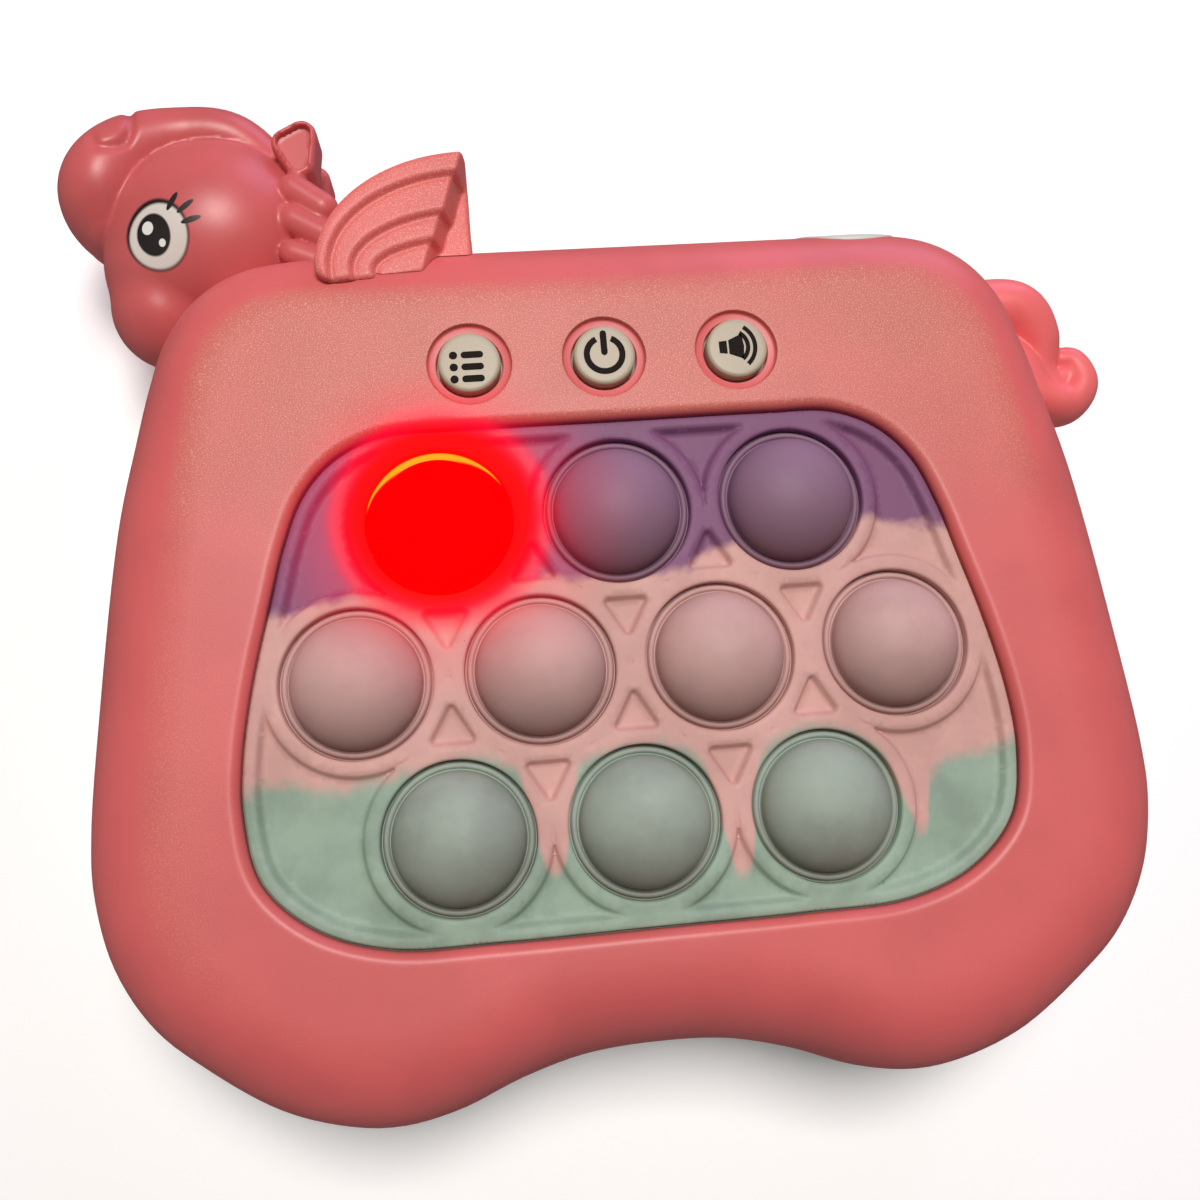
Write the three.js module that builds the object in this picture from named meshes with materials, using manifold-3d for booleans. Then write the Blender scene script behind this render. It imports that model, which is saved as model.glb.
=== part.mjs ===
// Electronic bubble pop game: a hand-held console with ten silicone bubbles that light up and press down,
// three buttons, a speaker and a battery bay, shaped as a winged pony seen from its side.
// Millimetres. It lies on its flat back: +Z points out of the bubble face, +Y towards the head.
// Heights are counted from the back face, and the other places from the middle of the bubble grid.
import * as THREE from "three";
import { mergeVertices } from "three/addons/utils/BufferGeometryUtils.js";
import Module from "manifold-3d";

const wasm = await Module();
wasm.setup();

// Fits: the gap between pieces that touch, and how far a cut runs past the face that it opens
const clearance = 0.3;
const overrun = 1;

// Console body
const bodyHalfWidth = 73.8;
const bodyTop = 64.4;
const bodyBottom = 58;
const bodyThickness = 40;
const seamHeight = 20;
const shellWall = 2.2;
const frontRound = 16;
const backRound = 14;
const roundPower = 2.4;
const bodyOutlineShares = [
  [0, 1], [0.388, 1], [0.61, 0.995], [0.714, 0.967], [0.793, 0.905], [0.848, 0.815], [0.88, 0.71],
  [0.908, 0.584], [0.944, 0.394], [0.983, 0], [1, -0.286], [0.996, -0.42], [0.962, -0.588],
  [0.893, -0.731], [0.802, -0.832], [0.673, -0.938], [0.556, -0.988], [0.466, -1], [0.362, -0.978],
  [0.246, -0.924], [0.129, -0.887], [0, -0.877],
];

// Tongue of the back shell, which runs up into a round-ended notch in the front shell's upper edge
const tonguePlace = 39.3;
const tongueRadius = 8;
const tongueTop = 36;
const tongueBottom = 12;
const tongueProud = 0.3;

// Window in the front shell, which frames the silicone pad; margins run past the outermost bubbles' centres
const windowSideMargin = 15;
const windowTopMargin = 12.7;
const windowBottomMargin = 13.4;
const windowChamfer = 1.1;
const windowOutlineShares = [
  [0, 1], [0.431, 1], [0.612, 0.99], [0.735, 0.908], [0.822, 0.765], [0.878, 0.556], [0.912, 0.36],
  [0.965, 0.04], [0.997, -0.25], [1, -0.45], [0.96, -0.71], [0.835, -0.89], [0.655, -0.985],
  [0.392, -1], [0, -1],
];

// Bubbles: three rows that nest in each other
const bubblePitch = 24;
const bubbleRowCounts = [3, 4, 3];
const bubbleTravel = 2.2;
const grooveRadius = 10;
const domeRadius = 8.8;
const domeRise = 6.2;
const siliconeWall = 1.2;
const skirtThickness = 1;
const skirtDrop = 0.4;

// Silicone pad round the bubbles
const padRecess = 1.2;
const landRise = 0.8;
const landWidth = 2.2;
const webThickness = 1.8;
const flangeReach = 3;

// Light caps under the bubbles: clear cups that press the switches
const capFlangeRadius = 9.2;
const capFlangeThickness = 1.2;
const capBarrelRadius = 8.3;
const capWall = 1.1;
const capPostRadius = 1.7;

// Frame that guides the light caps and clamps the pad
const framePlate = 2;
const frameRimWidth = 2;
const frameEarRadius = 4.6;
const frameEarTurnShares = [0.15, 0.25];
const pegShoulderRadius = 2.6;
const pegRadius = 1.5;
const stakeHeadRadius = 2.4;
const stakeHeadHeight = 0.8;
const padPostRadius = 1.4;
const boardLegRadius = 2.2;
const boardPinRadius = 1.2;

// Circuit board with its lamps and switches
const boardBottom = 24;
const boardThickness = 1.6;
const boardTopMargin = 8.2;
const boardOutlineShares = [[0, 1], [0.55, 1], [0.9, 0.4], [1, -0.41], [0.86, -0.9], [0.7, -1], [0, -1]];
const lampSide = 3;
const lampHeight = 1.6;
const lampOffset = 5;
const switchSide = 6.2;
const switchHeight = 3.5;
const stemRadius = 1.7;
const stemHeight = 0.8;

// Buttons above the window
const buttonNames = ["menu_button", "power_button", "volume_button"];
const buttonPitch = 18.5;
const buttonRowMargin = 8.8;
const buttonRadius = 4.25;
const buttonProud = 0.7;
const buttonEdge = 0.5;
const buttonFlangeRadius = 5.2;
const buttonFlangeThickness = 1.2;
const buttonPlungerRadius = 1.8;
const buttonTravel = 0.8;
const recessRadius = 5.75;
const recessDepth = 0.8;

// Batteries, side by side in their bay
const cellRadius = 7.25;
const cellLength = 49.5;
const cellNubRadius = 2.75;
const cellNubLength = 1;
const cellGap = 0.7;
const cellCount = 3;
const cellShift = 1;
const cellSeat = 0.6;
const bayEndRoom = 4.25;
const bayCentre = -5;
const bayWall = 1.5;
const contactThickness = 0.4;
const contactWidth = 9;
const contactReach = 4.55;
const springBaseRadius = 4;
const springTipRadius = 2.6;
const dimpleRadius = 2.2;
const tagWidth = 3;
const tagOffset = 2.5;
const batteryWireRun = 2;

// Battery door and its screw
const doorSideMargin = 2.5;
const doorTabMargin = 4.5;
const doorScrewMargin = 7.8;
const doorLedge = 1.8;
const doorLedgeMargin = 1.5;
const tabPlace = 18;
const tabHalfWidth = 4;
const tabReach = 3;
const tabRoot = 2;
const tabThickness = 1.5;
const doorPostRadius = 3.2;
const doorPostHeight = 10;
const doorScrewShank = 1.2;
const doorScrewHead = 2.6;
const doorScrewHeadHeight = 0.9;
const doorScrewLength = 8;
const doorScrewPlay = 0.6;

// Screws that hold the two shells together
const housingScrewPlaceShares = [[0.72, 0.67], [0.77, -0.58]];
const bossRadius = 3.6;
const postRadius = 4.2;
const bossBottom = 11;
const screwHeadRadius = 2.8;
const screwHeadHeight = 1.5;
const screwShankRadius = 1.3;
const screwLength = 12;
const screwSeat = 7.5;
const slotWidth = 0.8;
const slotDepth = 0.6;
const slotReachShare = 0.7;

// Speaker, behind its grille in the back shell
const speakerMargin = 1.9;
const speakerRadius = 12.5;
const speakerRimWidth = 1;
const speakerRimHeight = 1.2;
const speakerBasketHeight = 5.5;
const speakerBasketRadius = 8;
const magnetRadius = 6.5;
const magnetHeight = 2.5;
const speakerWallHeight = 5;
const speakerWall = 1.5;
const grilleHoleRadius = 1.4;
const grillePitch = 4.6;
const grilleHoles = 6;

// Wires
const wireRadius = 0.7;

// Ends of the locks of hair: the share of a lock that is rounded at each end, and how blunt it starts
const lockRoundShare = 0.18;
const lockTipShare = 0.02;

// Head of the pony, moulded in two halves, with the tab that locks it between the shells
const skullRadii = [16, 15, 13.6];
const skullPlaceShares = [-0.762, 1.128];
const muzzleRadii = [7.6, 8.4, 8.6];
const muzzlePlaceShares = [-0.5, -0.8];
const muzzleTurn = 20;
const cheekRadii = [10.4, 10.5, 11];
const cheekPlaceShares = [-0.4, -0.35];
const forelockRadius = 7.2;
const forelockDepthShare = 1.5;
const forelockPathShares = [
  [0.62, 0.7, 0.45], [0.2, 1, 0.7], [-0.28, 1.02, 0.8], [-0.74, 0.8, 0.98], [-0.97, 0.46, 1.1],
  [-0.93, 0.16, 0.76],
];
const earHeight = 12;
const earRadius = 6.6;
const earThicknessShare = 0.5;
const earPlaceShares = [0.82, 0.72];
const earTurn = -22;
const tuftRadius = 3;
const tuftLength = 6;
const tuftPlaceShares = [[1.03, 0.13], [1.07, -0.17], [1.03, -0.5]];
const tuftTurn = -30;
const tuftDepthShare = 0.85;
const headTabPlaceShares = [-0.76, 0.92];
const headTabTurn = -135;
const headTabHalfWidth = 6;
const headTabHalfHeight = 4;
const headTabReach = 8;

// Wings: a front and a back one, whose feathers step down towards the console
const wingLength = 21.5;
const wingHeight = 16.5;
const wingThickness = 14;
const wingFrontProud = 1;
const wingBackInset = 1;
const wingStep = 2.6;
const wingFromHead = 17.6;
const wingBaseShare = 0.885;
const featherEndSteps = [1.7, 4.8];
const featherArcShares = [[1, 1], [0.95, 0.8], [0.7, 0.44]];
const wingTabHalfWidth = 5;
const wingTabHalfHeight = 3;
const wingTabReach = 5;

// Tail: two locks of hair that curl together at their tip
const tailReach = 11;
const tailPlaceShares = [0.9, 0.715];
const tailDepthShare = 1.4;
const tailLockRadius = 5.6;
const tailUpperShares = [
  [-0.6, 0.56, 1.05], [0.1, 0.57, 1.05], [0.45, 0.2, 0.85], [0.46, -0.26, 0.55], [0.64, -0.46, 0.46],
  [0.85, -0.38, 0.44],
];
const tailLowerShares = [
  [-0.6, -0.04, 0.7], [0.02, -0.4, 0.6], [0.4, -0.7, 0.58], [0.78, -0.74, 0.58], [1.04, -0.48, 0.58],
  [0.98, -0.16, 0.5], [0.78, -0.06, 0.38],
];
const tailTabHalfWidth = 4.5;
const tailTabHalfHeight = 3;
const tailTabReach = 5;

// How finely curves are cut into flats
const bodyStations = 54;
const windowStations = 36;
const outerRoundSteps = 5;
const innerRoundSteps = 3;
const outlineFineness = 720;
const roundSides = 12;
const smallSides = 8;
const domeSteps = 4;
const hollowSteps = 3;
const capHollowSteps = 2;
const headSides = 14;
const headRings = 8;
const lockSides = 8;
const lockSteps = 10;
const featherSteps = 8;

// Heights and places that follow from the sizes above
const grooveHeight = bodyThickness - padRecess - landRise;
const landHeight = grooveHeight + landRise;
const webBottom = grooveHeight - webThickness;
const innerFace = bodyThickness - shellWall;
const flangeTop = innerFace - clearance;
const skirtTop = grooveHeight - skirtDrop;
const skirtBottom = skirtTop - skirtThickness;
const capFlangeTop = skirtBottom - clearance;
const capFlangeBottom = capFlangeTop - capFlangeThickness;
const frameTop = capFlangeBottom - bubbleTravel - clearance;
const frameBottom = frameTop - framePlate;
const boardTop = boardBottom + boardThickness;
const stemTop = boardTop + clearance + switchHeight + stemHeight;
const bubbleRowPitch = bubblePitch * Math.sin(Math.PI / 3);
const windowHalfWidth = ((Math.max(...bubbleRowCounts) - 1) / 2) * bubblePitch + windowSideMargin;
const windowTop = bubbleRowPitch + windowTopMargin;
const windowBottom = bubbleRowPitch + windowBottomMargin;
const buttonRow = windowTop + buttonRowMargin;
const boardTopEdge = buttonRow + boardTopMargin;
const cellAxis = shellWall + cellSeat + cellRadius;
const cellPitch = cellRadius * 2 + cellGap;
const contactLow = cellAxis - contactReach;
const contactHigh = cellAxis + contactReach;
const bayHalfLength = cellLength / 2 + bayEndRoom;
const bayHalfWidth = (cellCount * cellPitch) / 2 + clearance;
const bayRoof = cellAxis + cellRadius + cellSeat - clearance;
const bayTopEdge = bayCentre + bayHalfWidth;
const bayBottomEdge = bayCentre - bayHalfWidth;
const doorHalfWidth = bayHalfLength + doorSideMargin;
const doorTopEdge = bayTopEdge + bayWall + doorTabMargin;
const doorBottomEdge = bayBottomEdge - bayWall - doorScrewMargin;
const doorScrewPlace = (doorBottomEdge + bayBottomEdge - bayWall) / 2;
const ledgeBottom = shellWall + clearance;
const tagHeight = boardBottom - batteryWireRun - clearance * 2;
const speakerPlace = doorTopEdge + speakerMargin + speakerRadius;
const magnetTop = shellWall + clearance + speakerBasketHeight + magnetHeight;
const screwTip = screwSeat - clearance - screwHeadHeight + screwLength;

// Solids

// Triangles as a solid; a profile may run either way, so faces that point inwards are turned round
function closedSolid(positions, faces) {
  const build = (order) => new wasm.Manifold(new wasm.Mesh({
    numProp: 3,
    vertProperties: new Float32Array(positions),
    triVerts: new Uint32Array(order),
  }));
  const solid = build(faces);
  return solid.volume() > 0 ? solid : build([...faces].reverse());
}

function toSolid(geometry) {
  geometry.deleteAttribute("normal");
  geometry.deleteAttribute("uv");
  const merged = mergeVertices(geometry);
  const corners = merged.index.array;
  const faces = [];
  for (let i = 0; i < corners.length; i += 3) {
    const [a, b, c] = corners.slice(i, i + 3);
    if (a !== b && b !== c && c !== a) faces.push(a, b, c);
  }
  return closedSolid(merged.attributes.position.array, faces);
}

function cylinder(x, y, low, high, radius, sides = roundSides, topRadius = radius) {
  const geometry = new THREE.CylinderGeometry(topRadius, radius, high - low, sides);
  return toSolid(geometry.rotateX(Math.PI / 2).translate(x, y, (low + high) / 2));
}

function box(lowX, highX, lowY, highY, lowZ, highZ) {
  const geometry = new THREE.BoxGeometry(highX - lowX, highY - lowY, highZ - lowZ);
  return toSolid(geometry.translate((lowX + highX) / 2, (lowY + highY) / 2, (lowZ + highZ) / 2));
}

function prism(points, low, high) {
  const outline = new THREE.Shape(points);
  const geometry = new THREE.ExtrudeGeometry(outline, { depth: high - low, bevelEnabled: false });
  return toSolid(geometry.translate(0, 0, low));
}

// A turned piece round an upright axis; the profile holds [radius, height] pairs
function turned(profile, sides, x = 0, y = 0) {
  const points = profile.map(([radius, height]) => new THREE.Vector2(radius, height));
  return toSolid(new THREE.LatheGeometry(points, sides).rotateX(Math.PI / 2).translate(x, y, 0));
}

function ellipsoid(centre, radii, turn = 0) {
  const geometry = new THREE.SphereGeometry(1, headSides, headRings).scale(...radii);
  return toSolid(geometry).rotate([0, 0, turn]).translate(centre);
}

// A skin over rings of equally many points, closed at both ends
function loft(rings) {
  const count = rings[0].length;
  const points = rings.flat();
  const faces = [];
  for (let ring = 0; ring + 1 < rings.length; ring += 1) {
    for (let i = 0; i < count; i += 1) {
      const a = ring * count + i;
      const b = ring * count + ((i + 1) % count);
      faces.push(a, b, b + count, a, b + count, a + count);
    }
  }
  for (const [ring, flipped] of [[0, true], [rings.length - 1, false]]) {
    const middle = new THREE.Vector3();
    rings[ring].forEach((point) => middle.addScaledVector(point, 1 / count));
    points.push(middle);
    for (let i = 0; i < count; i += 1) {
      const a = ring * count + i;
      const b = ring * count + ((i + 1) % count);
      faces.push(...(flipped ? [b, a, points.length - 1] : [a, b, points.length - 1]));
    }
  }
  return closedSolid(points.flatMap((point) => point.toArray()), faces);
}

// A lock of hair: round sections along a path of [point, radius] pairs, deepened along Z, with rounded ends
function lock(path, depthShare) {
  const curve = new THREE.CatmullRomCurve3(path.map(([point]) => point));
  const radii = new THREE.CatmullRomCurve3(path.map(([, radius]) => new THREE.Vector3(radius, 0, 0)));
  const rings = [];
  for (let step = 0; step <= lockSteps; step += 1) {
    const share = step / lockSteps;
    const fromEnd = Math.min(share, 1 - share) + lockTipShare;
    const radius = radii.getPoint(share).x * Math.sqrt(1 - Math.max(0, 1 - fromEnd / lockRoundShare) ** 2);
    const middle = curve.getPoint(share);
    const ahead = curve.getTangent(share);
    const across = new THREE.Vector3(-ahead.y, ahead.x, 0).normalize();
    const ring = [];
    for (let i = 0; i < lockSides; i += 1) {
      const turn = (2 * Math.PI * i) / lockSides;
      const point = middle.clone().addScaledVector(across, radius * Math.cos(turn));
      ring.push(point.setZ(middle.z + radius * depthShare * Math.sin(turn)));
    }
    rings.push(ring);
  }
  return loft(rings);
}

function join(solids) {
  return solids.reduce((whole, solid) => whole.add(solid));
}

function cut(solid, tools) {
  return tools.reduce((rest, tool) => rest.subtract(tool), solid);
}

// Outlines

// The closed curve through the right half's points and their mirror images, by the angle from +Y
function polarOutline(halfShares, halfWidth, top, bottom) {
  const right = halfShares.map(([x, y]) => new THREE.Vector3(x * halfWidth, y * (y > 0 ? top : bottom), 0));
  const left = right.slice(1, -1).reverse().map((point) => new THREE.Vector3(-point.x, point.y, 0));
  const curve = new THREE.CatmullRomCurve3([...right, ...left], true, "centripetal");
  const fine = curve.getPoints(outlineFineness);
  const turnOf = (point) => (Math.atan2(point.x, point.y) + 2 * Math.PI) % (2 * Math.PI);
  return (angle) => {
    const next = fine.findIndex((point, i) => i > 0 && (turnOf(point) >= angle || i === outlineFineness));
    const before = turnOf(fine[next - 1]);
    const after = next === outlineFineness ? 2 * Math.PI : turnOf(fine[next]);
    const point = fine[next - 1].clone().lerp(fine[next], (angle - before) / (after - before));
    return new THREE.Vector2(point.x, point.y);
  };
}

function stationAngles(count) {
  return Array.from({ length: count }, (_, i) => (2 * Math.PI * i) / count);
}

// An outline with each point moved outwards by a distance, square to its edge
function widened(points, distance) {
  return points.map((point, i) => {
    const before = points[(i + points.length - 1) % points.length];
    const after = points[(i + 1) % points.length];
    const along = after.clone().sub(before).normalize();
    return new THREE.Vector2(point.x - along.y * distance, point.y + along.x * distance);
  });
}

const windowEdge = polarOutline(windowOutlineShares, windowHalfWidth, windowTop, windowBottom);
const windowPoints = stationAngles(windowStations).map(windowEdge);
const bodyEdge = polarOutline(bodyOutlineShares, bodyHalfWidth, bodyTop, bodyBottom);
const bodyPoints = stationAngles(bodyStations).map((angle) => {
  const edge = bodyEdge(angle);
  const nearest = windowPoints.reduce((best, point) =>
    (point.distanceTo(edge) < best.distanceTo(edge) ? point : best));
  return { edge, inward: nearest.clone().sub(edge).normalize() };
});

function bodyRing(inset, height) {
  return bodyPoints.map(({ edge, inward }) =>
    new THREE.Vector3(edge.x + inward.x * inset, edge.y + inward.y * inset, height));
}

// Rings of the body's pillow shape on one side of the seam, a skin's depth under the outer surface
function pillowRings(side, skin, start) {
  const rise = side > 0 ? bodyThickness - seamHeight : seamHeight;
  const round = side > 0 ? frontRound : backRound;
  const roundSteps = skin > 0 ? innerRoundSteps : outerRoundSteps;
  const rings = [bodyRing(skin, start)];
  for (let step = 1; step <= roundSteps; step += 1) {
    const turn = (step / roundSteps) * (Math.PI / 2);
    const inset = skin + (round - skin) * (1 - Math.cos(turn) ** (2 / roundPower));
    const height = seamHeight + side * (rise - skin) * Math.sin(turn) ** (2 / roundPower);
    rings.push(bodyRing(inset, height));
  }
  return rings;
}

const halfBody = (side) => loft(pillowRings(side, 0, seamHeight + (side * clearance) / 2));
const halfCavity = (side) => loft(pillowRings(side, shellWall, seamHeight - side * overrun));
const wholeBody = (skin) => loft([
  ...pillowRings(-1, skin, seamHeight).reverse(),
  ...pillowRings(1, skin, seamHeight).slice(1),
]);
const bodyEnvelope = wholeBody(-clearance);

// Places that several pieces share

const bubblePlaces = bubbleRowCounts.flatMap((count, row) => {
  const y = (1 - row) * bubbleRowPitch;
  return Array.from({ length: count }, (_, i) => [(i - (count - 1) / 2) * bubblePitch, y]);
});

// The gaps between three neighbouring bubbles, in the middle of each triangle
const gapRise = bubbleRowPitch / 3;
const outerGapPlaces = [-1, 1].flatMap((side) =>
  [-1, 1].map((row) => [side * bubblePitch, row * gapRise]));
const innerGapPlaces = [-1, 1].flatMap((row) => [
  [-bubblePitch / 2, row * 2 * gapRise], [bubblePitch / 2, row * 2 * gapRise], [0, row * gapRise],
]);
const mirrored = ([x, y]) => [[-x, y], [x, y]];
const pegLine = widened(windowPoints, flangeReach + pegShoulderRadius + clearance * 2);
const pegPlaces = frameEarTurnShares.flatMap((share) => {
  const { x, y } = pegLine[Math.round(share * windowStations)];
  return mirrored([x, y]);
});
const housingScrewPlaces = housingScrewPlaceShares.flatMap(([x, y]) =>
  mirrored([x * bodyHalfWidth, y * (y > 0 ? bodyTop : bodyBottom)]));
const buttonPlaces = buttonNames.map((_, i) => [(i - 1) * buttonPitch, buttonRow]);
const cellPlaces = Array.from({ length: cellCount }, (_, i) =>
  bayCentre + (i - (cellCount - 1) / 2) * cellPitch);
const skull = [skullPlaceShares[0] * bodyHalfWidth, skullPlaceShares[1] * bodyTop];
const wingRight = skull[0] + wingFromHead + wingLength;
const wingBase = wingBaseShare * bodyTop;
const wingMiddle = wingRight - wingLength / 2;
const wingFace = (side) => (side > 0 ? bodyThickness + wingFrontProud : wingBackInset);
const tail = [tailPlaceShares[0] * bodyHalfWidth, tailPlaceShares[1] * bodyTop];

// The tabs of the head, wings and tail run through slots in the shells; play widens a tab into its slot
function headTab(play) {
  const tab = box(
    -headTabHalfWidth - play, headTabHalfWidth + play, -skullRadii[1], headTabReach + play,
    -headTabHalfHeight - play, headTabHalfHeight + play,
  );
  const [x, y] = headTabPlaceShares;
  return tab.rotate([0, 0, headTabTurn]).translate([x * bodyHalfWidth, y * bodyTop, seamHeight]);
}

function wingTab(side, play) {
  const middle = wingFace(side) - side * (wingThickness - wingTabHalfHeight - wingStep);
  return box(
    wingMiddle - wingTabHalfWidth - play, wingMiddle + wingTabHalfWidth + play,
    bodyTop - shellWall - wingTabReach - play, bodyTop + wingHeight / 4,
    middle - wingTabHalfHeight - play, middle + wingTabHalfHeight + play,
  );
}

function tailTab(play) {
  return box(
    tail[0] - shellWall - tailTabReach - play, tail[0] + tailLockRadius,
    tail[1] - tailTabHalfWidth - play, tail[1] + tailTabHalfWidth + play,
    seamHeight - tailTabHalfHeight - play, seamHeight + tailTabHalfHeight + play,
  );
}

const tabSlots = [headTab(clearance), wingTab(1, clearance), wingTab(-1, clearance), tailTab(clearance)];

// The upright space of the back shell's tongue; play widens it into the front shell's notch
function tongueSpace(play) {
  const radius = tongueRadius + play;
  const arc = Array.from({ length: roundSides + 1 }, (_, i) => {
    const turn = (i / roundSides) * Math.PI;
    return new THREE.Vector2(tonguePlace + radius * Math.cos(turn),
      tongueTop - tongueRadius + radius * Math.sin(turn));
  });
  const foot = [-radius, radius].map((x) => new THREE.Vector2(tonguePlace + x, tongueBottom));
  return prism([...arc, ...foot], -bodyTop - overrun, frontRound - bodyTop).rotate([90, 0, 0]);
}

// Sub-parts

// A peg that runs down through an ear of the frame, with a shoulder over it and a staked head under it
function framePeg([x, y]) {
  const headTop = frameBottom - clearance;
  return join([
    cylinder(x, y, frameTop + clearance, innerFace + shellWall / 2, pegShoulderRadius, smallSides),
    cylinder(x, y, headTop - stakeHeadHeight / 2, frameTop + shellWall, pegRadius, smallSides),
    cylinder(x, y, headTop - stakeHeadHeight, headTop, stakeHeadRadius, smallSides),
  ]);
}

function makeFrontShell() {
  const outer = halfBody(1);
  const bosses = housingScrewPlaces.map(([x, y]) =>
    cylinder(x, y, bossBottom, innerFace + shellWall / 2, bossRadius));
  const pilots = housingScrewPlaces.map(([x, y]) =>
    cylinder(x, y, bossBottom - overrun, screwTip + clearance, screwShankRadius + clearance, smallSides));
  const chamfer = loft([
    windowPoints.map(({ x, y }) => new THREE.Vector3(x, y, bodyThickness - windowChamfer)),
    widened(windowPoints, windowChamfer * 2).map(({ x, y }) =>
      new THREE.Vector3(x, y, bodyThickness + windowChamfer)),
  ]);
  const buttonHoles = buttonPlaces.flatMap(([x, y]) => [
    cylinder(x, y, seamHeight, bodyThickness + overrun, buttonRadius + clearance),
    cylinder(x, y, bodyThickness - recessDepth, bodyThickness + overrun, recessRadius),
  ]);
  const shell = cut(outer, [halfCavity(1)]);
  const lower = box(-bodyHalfWidth, bodyHalfWidth, -bodyBottom, bodyTop, 0, seamHeight + clearance);
  const insides = join([...bosses, ...pegPlaces.map(framePeg)]).intersect(outer.add(lower));
  const padRoom = prism(widened(windowPoints, flangeReach + clearance), frameBottom, innerFace);
  return cut(cut(shell, [padRoom]).add(insides), [
    prism(windowPoints, seamHeight, bodyThickness + overrun), chamfer, ...buttonHoles, ...pilots,
    ...tabSlots, tongueSpace(clearance),
  ]);
}

function grillePlaces() {
  const ring = stationAngles(grilleHoles).flatMap((angle) => [
    [grillePitch * Math.sin(angle), speakerPlace + grillePitch * Math.cos(angle)],
    [2 * grillePitch * Math.sin(angle), speakerPlace + 2 * grillePitch * Math.cos(angle)],
  ]);
  return [[0, speakerPlace], ...ring];
}

function makeBackShell() {
  const tongue = wholeBody(-tongueProud).intersect(tongueSpace(0)).subtract(wholeBody(shellWall));
  const shell = cut(halfBody(-1), [halfCavity(-1)]).add(tongue);
  const ledge = box(
    -doorHalfWidth - doorLedge, doorHalfWidth + doorLedge, doorBottomEdge - doorLedge,
    doorTopEdge + doorLedgeMargin, 0, ledgeBottom + doorLedge,
  );
  const bay = box(
    -bayHalfLength - bayWall, bayHalfLength + bayWall, bayBottomEdge - bayWall, bayTopEdge + bayWall,
    ledgeBottom, bayRoof + bayWall,
  );
  const doorPost = cylinder(0, doorScrewPlace, ledgeBottom, doorPostHeight, doorPostRadius, smallSides);
  const posts = housingScrewPlaces.map(([x, y]) =>
    cylinder(x, y, 0, bossBottom - clearance, postRadius, smallSides));
  const speakerCup = cylinder(0, speakerPlace, shellWall / 2, shellWall + speakerWallHeight,
    speakerRadius + clearance + speakerWall);
  const speakerRoom = cylinder(0, speakerPlace, shellWall, shellWall + speakerWallHeight + overrun,
    speakerRadius + clearance);
  const ribs = join([ledge, bay, doorPost, ...posts, speakerCup]).intersect(halfBody(-1));
  const doorway = box(-doorHalfWidth, doorHalfWidth, doorBottomEdge, doorTopEdge, -overrun, ledgeBottom);
  const bayRoom = box(-bayHalfLength, bayHalfLength, bayBottomEdge, bayTopEdge, -overrun, bayRoof);
  const tabPockets = [-tabPlace, tabPlace].map((x) => box(
    x - tabHalfWidth - clearance, x + tabHalfWidth + clearance, doorTopEdge - doorTabMargin,
    doorTopEdge + tabReach + clearance * 2, shellWall, shellWall + doorLedge * 2,
  ));
  const screwHoles = housingScrewPlaces.flatMap(([x, y]) => [
    cylinder(x, y, -overrun, screwSeat, screwHeadRadius + clearance, smallSides),
    cylinder(x, y, 0, bossBottom, screwShankRadius + clearance, smallSides),
  ]);
  const doorScrewHole = cylinder(0, doorScrewPlace, 0, doorPostHeight + overrun,
    doorScrewShank + doorScrewPlay, smallSides);
  const grille = grillePlaces().map(([x, y]) =>
    cylinder(x, y, -overrun, shellWall + overrun, grilleHoleRadius, smallSides / 2));
  const tagSlots = contactTags.map(([x, y]) => box(
    x - contactThickness - clearance, x + contactThickness + clearance, y - tagWidth / 2 - clearance,
    y + tagWidth / 2 + clearance, bayRoof - overrun, bayRoof + bayWall + overrun,
  ));
  return cut(cut(shell.add(ribs), [speakerRoom]), [
    doorway, bayRoom, ...tabPockets, ...screwHoles, doorScrewHole, ...grille, ...tagSlots, ...tabSlots,
  ]);
}

function makePad() {
  const web = prism(widened(windowPoints, -clearance), webBottom, landHeight);
  const flange = prism(widened(windowPoints, flangeReach), webBottom, flangeTop);
  const sunk = prism(widened(windowPoints, -clearance - landWidth), grooveHeight, landHeight + overrun);
  const lands = bubblePlaces.map(([x, y]) =>
    cylinder(x, y, grooveHeight, landHeight, grooveRadius + landWidth));
  const holes = bubblePlaces.map(([x, y]) =>
    cylinder(x, y, webBottom - overrun, landHeight + overrun, grooveRadius));
  const raised = join(lands).intersect(prism(widened(windowPoints, -clearance), grooveHeight, landHeight));
  return cut(cut(web.add(flange), [sunk]).add(raised), holes);
}

function domeArc(radius, low, rise, steps) {
  return Array.from({ length: steps + 1 }, (_, i) => {
    const turn = (i / steps) * (Math.PI / 2);
    return [i === steps ? 0 : radius * Math.cos(turn), low + rise * Math.sin(turn)];
  });
}

function makeBubble([x, y]) {
  const outside = domeArc(domeRadius, skirtTop, grooveHeight + domeRise - skirtTop, domeSteps);
  const inside = domeArc(domeRadius - siliconeWall, skirtBottom,
    grooveHeight + domeRise - siliconeWall - skirtBottom, hollowSteps);
  const skirtRadius = grooveRadius - clearance;
  return turned([
    ...inside.reverse(), [skirtRadius, skirtBottom], [skirtRadius, skirtTop], ...outside,
  ], roundSides, x, y);
}

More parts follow.
